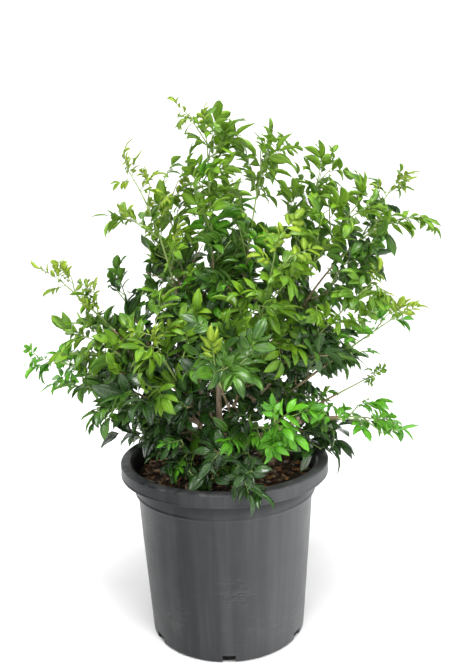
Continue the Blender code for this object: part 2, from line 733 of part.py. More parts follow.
def main():
    for thing in list(bpy.data.objects):
        bpy.data.objects.remove(thing)
    shrub = bpy.data.collections.new("orange_jasmine_shrub")
    cutters = bpy.data.collections.new("drain_cutters")
    for collection in (shrub, cutters):
        bpy.context.scene.collection.children.link(collection)

    plastic = material("pot_plastic", (0.028, 0.029, 0.031), 0.50)
    soil = material("potting_mix", (0.045, 0.028, 0.018), 0.95)
    bark = material("bark", (0.31, 0.23, 0.14), 0.80)
    foliage = material("foliage", (0.10, 0.27, 0.03), 0.42)

    make_pot(plastic, shrub, cutters)
    make_mix(soil, shrub)

    trunk_path, trunk_points, trunk_radii = trunk_rings()
    tube("trunk", trunk_points, trunk_radii, TRUNK_SIDES, bark, shrub)
    paths = {"trunk": trunk_path}
    rings = {"trunk": (trunk_points, trunk_radii, TRUNK_SIDES)}
    for shoot in SHOOTS:
        paths[shoot.name] = shoot_path(shoot, paths)

    limbs = [(trunk_points, trunk_radii)]
    masses = {}
    starts = {}
    for shoot in SHOOTS:
        path = paths[shoot.name]
        masses[shoot.name] = path.points(path.shares(shoot.bough, 1.0, AXIS_STEP))
        starts[shoot.name] = (shoot.bough, root_radius(shoot) * BOUGH_TIP_SHARE)
        if shoot.bough == 0:
            continue
        points, radii = bough_rings(shoot, path, LIMB_STEP)
        rings[shoot.name] = (points, radii, BOUGH_SIDES)
        starts[shoot.name] = (shoot.bough + CLEARANCE / path.length, radii[-1])
        limbs.append(bough_rings(shoot, path, AXIS_STEP))
        bough = tube("bough_" + shoot.name, points, radii, BOUGH_SIDES, bark, shrub)
        space = swollen(*rings[shoot.parent], bark, shrub)
        boolean(bough, [space], "DIFFERENCE", "EXACT")

    spaces = Spaces(masses, {shoot.name: shoot.spray for shoot in SHOOTS}, limbs)
    for shoot in SHOOTS:
        start, stem_radius = starts[shoot.name]
        path = paths[shoot.name]
        growth = Growth(shoot.name, shoot.leaf, path, start, stem_radius, spaces, shoot.seed)
        trunk_space = None
        if shoot.bough == 0:
            trunk_space = swollen(*rings["trunk"], bark, shrub)
        make_mass("foliage_" + shoot.name, growth, trunk_space, foliage, shrub)


main()
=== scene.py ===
import json
import math
import random
from collections import namedtuple

import bmesh
import bpy
import numpy as np
from mathutils import Matrix, Vector, noise
from mathutils.bvhtree import BVHTree

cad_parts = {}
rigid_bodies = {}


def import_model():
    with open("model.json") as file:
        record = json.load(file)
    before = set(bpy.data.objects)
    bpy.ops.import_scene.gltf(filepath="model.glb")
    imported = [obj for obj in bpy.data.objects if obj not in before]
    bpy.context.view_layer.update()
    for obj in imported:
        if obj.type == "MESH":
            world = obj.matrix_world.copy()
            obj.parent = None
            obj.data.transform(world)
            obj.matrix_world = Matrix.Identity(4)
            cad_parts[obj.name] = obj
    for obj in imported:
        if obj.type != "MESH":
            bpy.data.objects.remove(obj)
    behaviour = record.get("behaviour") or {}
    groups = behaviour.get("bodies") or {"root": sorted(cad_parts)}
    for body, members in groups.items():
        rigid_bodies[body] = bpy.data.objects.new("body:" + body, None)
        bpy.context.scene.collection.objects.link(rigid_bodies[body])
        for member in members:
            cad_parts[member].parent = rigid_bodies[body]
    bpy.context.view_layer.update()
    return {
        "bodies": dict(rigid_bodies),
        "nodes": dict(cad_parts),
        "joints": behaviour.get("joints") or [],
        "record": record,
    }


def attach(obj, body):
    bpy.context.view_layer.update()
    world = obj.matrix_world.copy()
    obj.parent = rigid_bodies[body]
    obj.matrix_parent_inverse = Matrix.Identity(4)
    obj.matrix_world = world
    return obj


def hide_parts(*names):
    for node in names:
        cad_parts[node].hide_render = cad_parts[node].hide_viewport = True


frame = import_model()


# Camera
# The photograph is taken from a little over a metre in front of the pot and from above its rim, so the
# camera looks slightly down on it and leans by a degree and a half.
IMAGE_LONG_SIDE = 668
FOCAL_PIXELS = 750.0
CAMERA_PLACE = Vector((0.013, -1.147, 0.693))
CAMERA_PITCH = 0.182
CAMERA_ROLL = -0.0255
SENSOR_WIDTH = 36.0


def placed(name, data):
    """An object of a camera, light or mesh, put in the scene."""
    thing = bpy.data.objects.new(name, data)
    bpy.context.scene.collection.objects.link(thing)
    return thing


camera_data = bpy.data.cameras.new("camera")
camera_data.sensor_width = SENSOR_WIDTH
camera_data.lens = FOCAL_PIXELS / IMAGE_LONG_SIDE * SENSOR_WIDTH
camera = placed("camera", camera_data)
tilt = Matrix.Rotation(math.pi / 2 - CAMERA_PITCH, 4, "X")
roll = Matrix.Rotation(CAMERA_ROLL, 4, "Z")
camera.matrix_world = Matrix.Translation(CAMERA_PLACE) @ tilt @ roll
bpy.context.scene.camera = camera


# Studio
# A plain pale floor that sweeps up into a plain backdrop behind the plant. A large soft panel lights it
# from above, with weaker ones in front, at the back left and at the right, and one lights the backdrop.
FLOOR_HALF_WIDTH = 6.0
SWEEP_START = 3.0
SWEEP_RADIUS = 1.5
SWEEP_HEIGHT = 5.0
SWEEP_STEPS = 16
FLOOR_COLOUR = (0.94, 0.94, 0.94, 1.0)
FLOOR_ROUGHNESS = 0.9
SKY_COLOUR = (1.0, 1.0, 1.0, 1.0)
# The sky is dimmer to the left than to the right
SKY_STRENGTHS = (0.30, 0.72)
# Name, place, the point it faces, width and power of each panel
PANELS = (
    ("panel_top", (0.1, -1.1, 3.6), (0.0, 0.0, 0.4), 1.5, 148.0),
    ("panel_left", (-1.9, 1.3, 1.5), (-0.3, 0.0, 0.2), 1.2, 10.0),
    ("panel_right", (2.0, -1.7, 1.1), (0.0, 0.0, 0.4), 2.2, 23.0),
    ("panel_front", (-0.5, -2.6, 1.2), (0.0, 0.0, 0.38), 1.2, 24.0),
    ("panel_backdrop", (0.0, 1.6, 3.4), (0.0, 4.5, 1.2), 2.0, 90.0),
)

sweep_profile = [(-FLOOR_HALF_WIDTH, 0.0), (SWEEP_START, 0.0)]
for step in range(1, SWEEP_STEPS + 1):
    angle = math.pi / 2 * step / SWEEP_STEPS
    out = SWEEP_START + SWEEP_RADIUS * math.sin(angle)
    sweep_profile.append((out, SWEEP_RADIUS * (1.0 - math.cos(angle))))
sweep_profile.append((SWEEP_START + SWEEP_RADIUS, SWEEP_HEIGHT))
sweep_points = [(side * FLOOR_HALF_WIDTH, y, z) for y, z in sweep_profile for side in (-1, 1)]
sweep_faces = [(2 * i, 2 * i + 1, 2 * i + 3, 2 * i + 2) for i in range(len(sweep_profile) - 1)]
floor_mesh = bpy.data.meshes.new("floor")
floor_mesh.from_pydata(sweep_points, [], sweep_faces)
floor_mesh.shade_smooth()
floor_paint = bpy.data.materials.new("floor_paint")
floor_paint.use_nodes = True
floor_shader = floor_paint.node_tree.nodes["Principled BSDF"]
floor_shader.inputs["Base Color"].default_value = FLOOR_COLOUR
floor_shader.inputs["Roughness"].default_value = FLOOR_ROUGHNESS
floor_mesh.materials.append(floor_paint)
floor = placed("floor", floor_mesh)

world = bpy.data.worlds.new("studio")
world.use_nodes = True
sky_tree = world.node_tree
sky = sky_tree.nodes["Background"]
sky.inputs["Color"].default_value = SKY_COLOUR
sky_direction = sky_tree.nodes.new("ShaderNodeTexCoord")
sky_axes = sky_tree.nodes.new("ShaderNodeSeparateXYZ")
sky_strength = sky_tree.nodes.new("ShaderNodeMapRange")
sky_strength.inputs["From Min"].default_value = -1.0
sky_strength.inputs["To Min"].default_value = SKY_STRENGTHS[0]
sky_strength.inputs["To Max"].default_value = SKY_STRENGTHS[1]
sky_tree.links.new(sky_direction.outputs["Generated"], sky_axes.inputs["Vector"])
sky_tree.links.new(sky_axes.outputs["X"], sky_strength.inputs["Value"])
sky_tree.links.new(sky_strength.outputs["Result"], sky.inputs["Strength"])
bpy.context.scene.world = world
for name, place, target, size, power in PANELS:
    panel = bpy.data.lights.new(name, "AREA")
    panel.size = size
    panel.energy = power
    panel_object = placed(name, panel)
    panel_object.location = place
    aim = Vector(target) - Vector(place)
    panel_object.rotation_mode = "QUATERNION"
    panel_object.rotation_quaternion = aim.to_track_quat("-Z", "Y")
bpy.context.scene.view_settings.view_transform = "Standard"


# Pot
# A thin-walled pot of black polypropylene, moulded in one piece: a rolled rim with a skirt and a channel
# under it, a collar that steps in to a tapering body, and six notches round the foot for drainage. It is
# satin, with faint upright flow marks, dust and pale scuffs. Its colour is painted paler towards the right
# side as painted light, and darker on the collar under the rim as painted shadow.
POT_HEIGHT = 0.285
POT_STEPS = 160
WALL = 0.0026
FLOOR_THICKNESS = 0.0032
BASE_RADIUS = 0.1240
BASE_CHAMFER = 0.0030
BODY_TOP_RADIUS = 0.1402
COLLAR_BOTTOM = 0.2350
COLLAR_RADIUS = 0.1440
COLLAR_TOP_RADIUS = 0.1480
LEDGE_HEIGHT = 0.0035
RIM_RADIUS = 0.1650
RIM_HEIGHT = 0.0200
RIM_EDGE = 0.0025
RIM_INNER_RADIUS = 0.1500
RIM_PLATE = 0.0030
DRAIN_COUNT = 6
DRAIN_WIDTH = 0.0200
DRAIN_HEIGHT = 0.0120
DRAIN_DEPTH = 0.0130
# The skirt leans in by this much, above the thin bead at its lower edge
SKIRT_LEAN = 0.0006
BEAD_TOP = 0.0032
BEAD_ROUND = 0.0022
# Heights at which the tapering body has a ring of points
BODY_RINGS = (0.16, 0.08)
SOFT_EDGE = 0.0006
SOFT_EDGE_ANGLE = math.radians(25)
SHARP_ANGLE = 35
POT_COLOUR = (0.010, 0.011, 0.013, 1.0)
# The pale grey that the real flow marks and the painted light on the right side turn the black towards
POT_FLOW_AND_PAINTED_LIGHT_COLOUR = (0.086, 0.089, 0.093, 1.0)
DUST_COLOUR = (0.20, 0.195, 0.185, 1.0)


class Socket:
    """An output of a shader node. Arithmetic on it adds Math nodes."""

    def __init__(self, look, output):
        self.look = look
        self.output = output

    def math(self, operation, first, second=0.0):
        return self.look.node("ShaderNodeMath", {"operation": operation}, {0: first, 1: second})

    def __add__(self, other):
        return self.math("ADD", self, other)

    def __sub__(self, other):
        return self.math("SUBTRACT", self, other)

    def __rsub__(self, other):
        return self.math("SUBTRACT", other, self)

    def __mul__(self, other):
        return self.math("MULTIPLY", self, other)

    def __truediv__(self, other):
        return self.math("DIVIDE", self, other)

    def __abs__(self):
        return self.math("ABSOLUTE", self)

    __radd__ = __add__
    __rmul__ = __mul__

    def ramp(self, low, high):
        """Rises smoothly from 0 at low to 1 at high, or falls where high is the smaller."""
        ends = {"Value": self, "From Min": low, "From Max": high}
        return self.look.node("ShaderNodeMapRange", {"interpolation_type": "SMOOTHSTEP"}, ends)


class Look:
    """A Principled material, whose nodes are added by name."""

    def __init__(self, name, **constants):
        self.material = bpy.data.materials.new(name)
        self.material.use_nodes = True
        self.tree = self.material.node_tree
        self.shader = self.tree.nodes["Principled BSDF"]
        for key, value in constants.items():
            self.shader.inputs[key.replace("_", " ").title().replace("Ior", "IOR")].default_value = value

    def feed(self, socket, value):
        if isinstance(value, Socket):
            self.tree.links.new(value.output, socket)
        else:
            socket.default_value = value

    def node(self, kind, settings, inputs, output=0):
        made = self.tree.nodes.new(kind)
        for key, value in settings.items():
            setattr(made, key, value)
        for key, value in inputs.items():
            self.feed(made.inputs[key], value)
        return Socket(self, made.outputs[output])

    def set(self, name, value):
        self.feed(self.shader.inputs[name], value)

    def place(self):
        return self.node("ShaderNodeTexCoord", {}, {}, "Object")

    def axes(self, vector):
        """The three numbers of a vector."""
        split = self.node("ShaderNodeSeparateXYZ", {}, {"Vector": vector})
        outputs = split.output.node.outputs
        return [Socket(self, outputs[i]) for i in range(3)]

    def vector(self, x, y, z):
        return self.node("ShaderNodeCombineXYZ", {}, {"X": x, "Y": y, "Z": z})

    def stretched(self, vector, x, y, z):
        return self.node("ShaderNodeVectorMath", {"operation": "MULTIPLY"}, {0: vector, 1: (x, y, z)})

    def noise(self, vector, scale, detail=2.0, roughness=0.5):
        settings = {"Vector": vector, "Scale": scale, "Detail": detail, "Roughness": roughness}
        return self.node("ShaderNodeTexNoise", {}, settings, "Fac")

    def mix(self, factor, first, second):
        """The first colour, turning into the second as the factor goes from 0 to 1."""
        # Inputs 0, 6 and 7 of a colour Mix are its factor and its two colours
        return self.node("ShaderNodeMix", {"data_type": "RGBA"}, {0: factor, 6: first, 7: second}, 2)

    def bump(self, height, distance, strength=1.0):
        values = {"Height": height, "Distance": distance, "Strength": strength}
        self.set("Normal", self.node("ShaderNodeBump", {}, values))


def pot_plastic():
    """Satin black plastic with flow marks, dust and scuffs, painted paler towards the right as painted
    light and darker under the rim as painted shadow.
    """
    look = Look("pot_plastic_moulded", specular_ior_level=0.19)
    place = look.place()
    x, y, z = look.axes(place)
    turn = x.math("ARCTAN2", x, y)
    flow = look.noise(look.vector(turn * 4.0, z * 1.6, 0.0), 1.8, 4.0, 0.55)
    mottle = look.noise(place, 38.0, 4.0, 0.6)
    foot = z.ramp(0.17, 0.0)
    dust = look.noise(place, 17.0, 6.0, 0.68).ramp(0.50, 0.72) * (foot * 0.07 + 0.04)
    rim_top = z.ramp(POT_HEIGHT - RIM_EDGE - 0.0010, POT_HEIGHT - 0.0005)
    settled = look.noise(place, 60.0, 4.0, 0.7).ramp(0.42, 0.75) * rim_top * 0.35
    slanted = look.stretched(place, 1.0, 1.0, 7.0)
    line = abs(look.noise(slanted, 11.0, 5.0, 0.62) - 0.5)
    patch = look.noise(place, 13.0, 2.0).ramp(0.52, 0.64)
    scuff = line.ramp(0.010, 0.0) * patch * 0.28
    # Painted light: the colour turns paler towards the right side, where the light falls on the pot
    painted_lit_side = (x + flow * 0.04).ramp(-0.10, 0.16)
    # Painted shadow: the colour stays darker on the collar under the rim's skirt, where the rim shades it
    below_rim = z.ramp(POT_HEIGHT - RIM_HEIGHT, COLLAR_BOTTOM + 0.026)
    under_rim = z.ramp(COLLAR_BOTTOM, COLLAR_BOTTOM + 0.022) * below_rim
    outside_painted_rim_shadow = 1.0 - under_rim * 0.75
    # The paler colour comes partly from the real flow marks and partly from the painted light and painted
    # shadow
    flow_and_painted_light_share = (painted_lit_side * 0.8 + flow.ramp(0.35, 0.75) * 0.2) * outside_painted_rim_shadow
    flow_and_painted_light_colour = look.mix(flow_and_painted_light_share, POT_COLOUR, POT_FLOW_AND_PAINTED_LIGHT_COLOUR)
    dusty = look.mix((dust + settled).math("MINIMUM", dust + settled, 0.5), flow_and_painted_light_colour, DUST_COLOUR)
    look.set("Base Color", look.mix(scuff, dusty, DUST_COLOUR))
    look.set("Roughness", mottle * 0.16 + flow * 0.12 + dust * 0.3 + 0.24)
    grain = look.noise(place, 900.0, 2.0)
    look.bump(grain * 0.08 + flow * 0.8 + mottle * 0.12 - scuff * 0.4, 0.0007, 0.6)
    return look.material


def wall_radius(height):
    """Outer radius of the pot's body at a height below its collar."""
    share = (height - BASE_CHAMFER) / (COLLAR_BOTTOM - BASE_CHAMFER)
    return BASE_RADIUS + (BODY_TOP_RADIUS - BASE_RADIUS) * share


def pot_profile():
    """Rim, skirt, collar, body, underside and inside of the pot, from the top of the rim down."""
    top = POT_HEIGHT
    skirt_bottom = top - RIM_HEIGHT
    channel_top = top - RIM_PLATE
    skirt_inner = RIM_RADIUS - WALL
    outer = [
        (RIM_RADIUS - RIM_EDGE, top),
        (RIM_RADIUS - RIM_EDGE * 0.3, top - RIM_EDGE * 0.3),
        (RIM_RADIUS, top - RIM_EDGE),
        (RIM_RADIUS - SKIRT_LEAN, skirt_bottom + BEAD_TOP),
        (RIM_RADIUS, skirt_bottom + BEAD_ROUND),
        (RIM_RADIUS, skirt_bottom),
        (skirt_inner, skirt_bottom),
        (skirt_inner, channel_top),
        (COLLAR_TOP_RADIUS, channel_top),
        (COLLAR_RADIUS - 0.0004, COLLAR_BOTTOM + LEDGE_HEIGHT * 1.5),
        (COLLAR_RADIUS + 0.0005, COLLAR_BOTTOM + LEDGE_HEIGHT * 0.9),
        (COLLAR_RADIUS + 0.0006, COLLAR_BOTTOM + LEDGE_HEIGHT * 0.4),
        (COLLAR_RADIUS - LEDGE_HEIGHT * 0.1, COLLAR_BOTTOM),
        (BODY_TOP_RADIUS - 0.0004, COLLAR_BOTTOM - LEDGE_HEIGHT * 0.2),
        *[(wall_radius(height), height) for height in BODY_RINGS],
        (BASE_RADIUS, BASE_CHAMFER),
        (BASE_RADIUS - BASE_CHAMFER, 0.0),
        (0.0, 0.0),
    ]
    inner = [
        (0.0, FLOOR_THICKNESS),
        (wall_radius(FLOOR_THICKNESS) - WALL, FLOOR_THICKNESS),
        (BODY_TOP_RADIUS - WALL, COLLAR_BOTTOM),
        (COLLAR_TOP_RADIUS - WALL, top - RIM_EDGE * 1.6),
        (RIM_INNER_RADIUS - RIM_EDGE * 0.5, top - RIM_EDGE * 0.3),
        (RIM_INNER_RADIUS, top),
        (RIM_RADIUS - RIM_EDGE, top),
    ]
    return outer + inner


def turned(name, profile, steps):
    """A profile as an object, with a modifier that turns it round the Z axis."""
    mesh = bpy.data.meshes.new(name)
    points = [(radius, 0.0, height) for radius, height in profile]
    mesh.from_pydata(points, [(i, i + 1) for i in range(len(points) - 1)], [])
    thing = placed(name, mesh)
    screw = thing.modifiers.new("turn", "SCREW")
    screw.steps = steps
    screw.render_steps = steps
    screw.use_merge_vertices = True
    screw.merge_threshold = 0.00001
    return thing


def settle(thing):
    """Replaces an object's mesh with what its modifiers make of it, and returns it."""
    graph = bpy.context.evaluated_depsgraph_get()
    mesh = bpy.data.meshes.new_from_object(thing.evaluated_get(graph))
    thing.modifiers.clear()
    thing.data = mesh
    return mesh


def smooth_by_angle(mesh, degrees):
    """Smooth shading, with the edges that turn by more than an angle kept sharp."""
    mesh.shade_smooth()
    shape = bmesh.new()
    shape.from_mesh(mesh)
    for edge in shape.edges:
        edge.smooth = edge.is_manifold and edge.calc_face_angle(0.0) < math.radians(degrees)
    shape.to_mesh(mesh)
    shape.free()


def meshed(name, shape):
    """A mesh made from a bmesh, which is then freed."""
    mesh = bpy.data.meshes.new(name)
    shape.to_mesh(mesh)
    shape.free()
    return mesh


pot = turned("pot_moulding", pot_profile(), POT_STEPS)
cutters = []
for index in range(DRAIN_COUNT):
    bearing = math.tau * index / DRAIN_COUNT - math.pi / 2
    cutter_shape = bmesh.new()
    bmesh.ops.create_cube(cutter_shape, size=1.0)
    size = Matrix.Diagonal((DRAIN_DEPTH * 2, DRAIN_WIDTH, DRAIN_HEIGHT * 2, 1.0))
    spot = Matrix.Translation((BASE_RADIUS * math.cos(bearing), BASE_RADIUS * math.sin(bearing), 0.0))
    cutter_shape.transform(spot @ Matrix.Rotation(bearing, 4, "Z") @ size)
    cutter = placed("drain_cutter", meshed("drain_cutter", cutter_shape))
    cutters.append(cutter)
    drain = pot.modifiers.new("drain", "BOOLEAN")
    drain.operation = "DIFFERENCE"
    drain.solver = "EXACT"
    drain.object = cutter
rounding = pot.modifiers.new("soft_edges", "BEVEL")
rounding.width = SOFT_EDGE
rounding.segments = 2
rounding.limit_method = "ANGLE"
rounding.angle_limit = SOFT_EDGE_ANGLE
pot_mesh = settle(pot)
for cutter in cutters:
    bpy.data.objects.remove(cutter)
smooth_by_angle(pot_mesh, SHARP_ANGLE)
pot_mesh.materials.clear()
pot_mesh.materials.append(pot_plastic())
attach(pot, "root")
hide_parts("pot")


# Potting mix
# Moist dark composted bark, filled to a little under the rim and crowned towards the trunk. Its top is a
# litter of bark chips, mostly dark, some tan or orange, that lie as they were thrown.
MIX_LEVEL = 0.2570
MIX_CROWN = 0.0060
MIX_SHOULDER = 0.70
# The crown is level out to this radius, and has this share of its height left at its shoulder
MIX_CROWN_RADIUS = 0.0475
MIX_SHOULDER_SHARE = 0.4
CLEARANCE = 0.0003
MIX_RINGS = 46
MIX_STEPS = 150
CRUMB_SIZES = ((160.0, 0.0011), (420.0, 0.0007))
MIX_SHARP_ANGLE = 60
CHIP_COUNT = 1500
CHIP_LENGTH = (0.004, 0.017)
# The middle of a chip stays this far inside the edge of the mix, and its ends pass that edge by less than
# the second of these
CHIP_EDGE_GAP = 0.004
CHIP_OVERHANG = 0.003
CHIP_LEAN = 0.28
CHIP_SEED = 11
CHIP_COLOURS = (
    ("bark_chip_dark", (0.060, 0.038, 0.025, 1.0), 0.34),
    ("bark_chip_brown", (0.200, 0.110, 0.058, 1.0), 0.28),
    ("bark_chip_orange", (0.56, 0.27, 0.10, 1.0), 0.20),
    ("bark_chip_tan", (0.66, 0.49, 0.33, 1.0), 0.18),
)
SOIL_DARK = (0.006, 0.005, 0.004, 1.0)
SOIL_LIGHT = (0.085, 0.055, 0.036, 1.0)


def mix_edge_radius():
    """Radius of the mix at its top edge, just inside the pot's wall."""
    widening = (MIX_LEVEL - COLLAR_BOTTOM) / (POT_HEIGHT - COLLAR_BOTTOM)
    return BODY_TOP_RADIUS + (COLLAR_TOP_RADIUS - BODY_TOP_RADIUS) * widening - WALL - CLEARANCE


def mix_height(x, y):
    """Height of the mix's crumbly surface at a place."""
    radius = math.hypot(x, y)
    shoulder = BODY_TOP_RADIUS * MIX_SHOULDER
    edge = mix_edge_radius()
    if radius < shoulder:
        way = max(0.0, radius - MIX_CROWN_RADIUS) / (shoulder - MIX_CROWN_RADIUS)
        rise = 1.0 - (1.0 - MIX_SHOULDER_SHARE) * way
    else:
        rise = MIX_SHOULDER_SHARE * (edge - radius) / (edge - shoulder)
    height = MIX_LEVEL + MIX_CROWN * rise
    for scale, size in CRUMB_SIZES:
        height += noise.noise(Vector((x * scale, y * scale, scale))) * size
    return height


def soil():
    """Moist dark soil with paler crumbs on top, and near black lower down as painted shade in the drain
    notches.
    """
    look = Look("soil_moist", specular_ior_level=0.12)
    place = look.place()
    crumbs = look.noise(place, 420.0, 5.0, 0.7)
    patches = look.noise(place, 55.0, 3.0)
    height = look.axes(place)[2]
    # Painted shade: below the collar, where the mix shows only through the drain notches, it gets no pale
    # crumbs and stays near black
    above_painted_notch_shade = height.ramp(COLLAR_BOTTOM, MIX_LEVEL)
    pale = (crumbs * 0.7 + patches * 0.5).ramp(0.45, 0.85) * above_painted_notch_shade
    look.set("Base Color", look.mix(pale, SOIL_DARK, SOIL_LIGHT))
    look.set("Roughness", patches * 0.3 + 0.62)
    look.bump(crumbs, 0.0012)
    return look.material


def chip_bark(name, colour):
    """Broken bark with a fibrous grain."""
    look = Look(name, specular_ior_level=0.25)
    place = look.place()
    fibre = look.noise(look.stretched(place, 1.0, 2.6, 2.6), 260.0, 4.0, 0.6)
    dark = tuple(part * 0.35 for part in colour[:3]) + (1.0,)
    look.set("Base Color", look.mix(fibre.ramp(0.3, 0.7), dark, colour))
    look.set("Roughness", fibre * 0.3 + 0.6)
    look.bump(fibre, 0.0006)
    return look.material


def chip_slot(choice):
    """The material number of a chip, by the share of each colour, from a number between 0 and 1."""
    for number, (name, colour, share) in enumerate(CHIP_COLOURS):
        if choice < share:
            return number
        choice -= share
    return 0


mix_shape = bmesh.new()
edge_radius = mix_edge_radius()
mix_angles = [math.tau * step / MIX_STEPS for step in range(MIX_STEPS)]
centre = mix_shape.verts.new((0.0, 0.0, mix_height(0.0, 0.0)))
rings = []
for ring in range(1, MIX_RINGS + 1):
    radius = edge_radius * ring / MIX_RINGS
    row = []
    for angle in mix_angles:
        x, y = radius * math.cos(angle), radius * math.sin(angle)
        row.append(mix_shape.verts.new((x, y, mix_height(x, y))))
    rings.append(row)
for radius, height in ((BODY_TOP_RADIUS - WALL - CLEARANCE, COLLAR_BOTTOM),
                       (wall_radius(FLOOR_THICKNESS) - WALL - CLEARANCE, FLOOR_THICKNESS + CLEARANCE)):
    places = [(radius * math.cos(angle), radius * math.sin(angle), height) for angle in mix_angles]
    rings.append([mix_shape.verts.new(place) for place in places])
for step in range(MIX_STEPS):
    after = (step + 1) % MIX_STEPS
    mix_shape.faces.new((centre, rings[0][step], rings[0][after]))
    for inside, outside in zip(rings, rings[1:]):
        mix_shape.faces.new((inside[step], outside[step], outside[after], inside[after]))
mix_shape.faces.new(list(reversed(rings[-1])))
bmesh.ops.recalc_face_normals(mix_shape, faces=mix_shape.faces)
mix_mesh = meshed("potting_mix_filling", mix_shape)
smooth_by_angle(mix_mesh, MIX_SHARP_ANGLE)
mix_mesh.materials.append(soil())
mix = placed("potting_mix_filling", mix_mesh)
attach(mix, "root")
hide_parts("potting_mix")

chip_dice = random.Random(CHIP_SEED)
chips_shape = bmesh.new()
for number in range(CHIP_COUNT):
    angle = chip_dice.uniform(0.0, math.tau)
    radius = (edge_radius - CHIP_EDGE_GAP) * math.sqrt(chip_dice.random())
    x, y = radius * math.cos(angle), radius * math.sin(angle)
    length = chip_dice.triangular(*CHIP_LENGTH, CHIP_LENGTH[0] * 1.4)
    room = edge_radius + CHIP_OVERHANG - radius
    length = min(length, room * 1.8)
    width = length * chip_dice.uniform(0.30, 0.75)
    thickness = width * chip_dice.uniform(0.18, 0.45)
    turn = Matrix.Rotation(chip_dice.uniform(0.0, math.tau), 4, "Z")
    lean = Matrix.Rotation(chip_dice.gauss(0.0, CHIP_LEAN), 4, "X")
    lean = lean @ Matrix.Rotation(chip_dice.gauss(0.0, CHIP_LEAN), 4, "Y")
    lift = mix_height(x, y) + thickness * chip_dice.uniform(-0.1, 0.5)
    size = Matrix.Diagonal((length, width, thickness, 1.0))
    made = bmesh.ops.create_cube(chips_shape, size=1.0)["verts"]
    for corner in made:
        corner.co += Vector([chip_dice.uniform(-0.16, 0.16) for axis in range(3)])
        corner.co.x *= 1.0 - 0.35 * abs(corner.co.y) * chip_dice.random()
    lying = Matrix.Translation((x, y, lift)) @ turn @ lean @ size
    bmesh.ops.transform(chips_shape, matrix=lying, verts=made)
    slot = chip_slot(chip_dice.random())
    for face in {face for corner in made for face in corner.link_faces}:
        face.material_index = slot
bmesh.ops.recalc_face_normals(chips_shape, faces=chips_shape.faces)
chips_mesh = meshed("bark_chips", chips_shape)
for name, colour, share in CHIP_COLOURS:
    chips_mesh.materials.append(chip_bark(name, colour))
chips = placed("bark_chips", chips_mesh)
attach(chips, "root")


# Trunk and boughs
# A short trunk with a root flare, and slender stems that leave it and each other at narrow angles. The
# bark is thin and tan, finely furrowed lengthwise and dotted with pale lenticels, with a swelling where
# a stem leaves its parent.
TRUNK_FOOT = Vector((-0.012, 0.0, MIX_LEVEL + MIX_CROWN + CLEARANCE))
TRUNK_FORK = Vector((-0.006, 0.002, 0.336))
TRUNK_RADIUS = 0.0100
TRUNK_TOP_RADIUS = 0.0070
FLARE_RADIUS = 0.0190
FLARE_HEIGHT = 0.018
SQUARE_END = 0.003
LEAD_SHARE = 0.22
LEADER_RADIUS = 0.0050
STEM_RADIUS = 0.0044
BRANCH_RADIUS = 0.0034
BOUGH_TIP_SHARE = 0.62
MASS_TIP_RADIUS = 0.0017
FINE_STEP = 0.0035
TRUNK_RINGS = 24
TRUNK_SIDES = 28
BARK_SIDES = 16
BARK_RELIEF = 0.00035
TRUNK_RELIEF = BARK_RELIEF * 2.4
# Furrows and knobs of the bark: how fast each changes round a limb and from ring to ring, where its noise
# starts, and how deep it is as a share of the relief
BARK_RIDGES = ((2.2, 0.22, 0.0, 1.2), (1.0, 0.9, 40.0, 0.6))
COLLAR_SWELL = 0.30
COLLAR_REACH = 0.012
BARK_TAN = (0.80, 0.63, 0.45, 1.0)
BARK_DARK = (0.40, 0.29, 0.185, 1.0)
BARK_PALE = (0.82, 0.74, 0.61, 1.0)

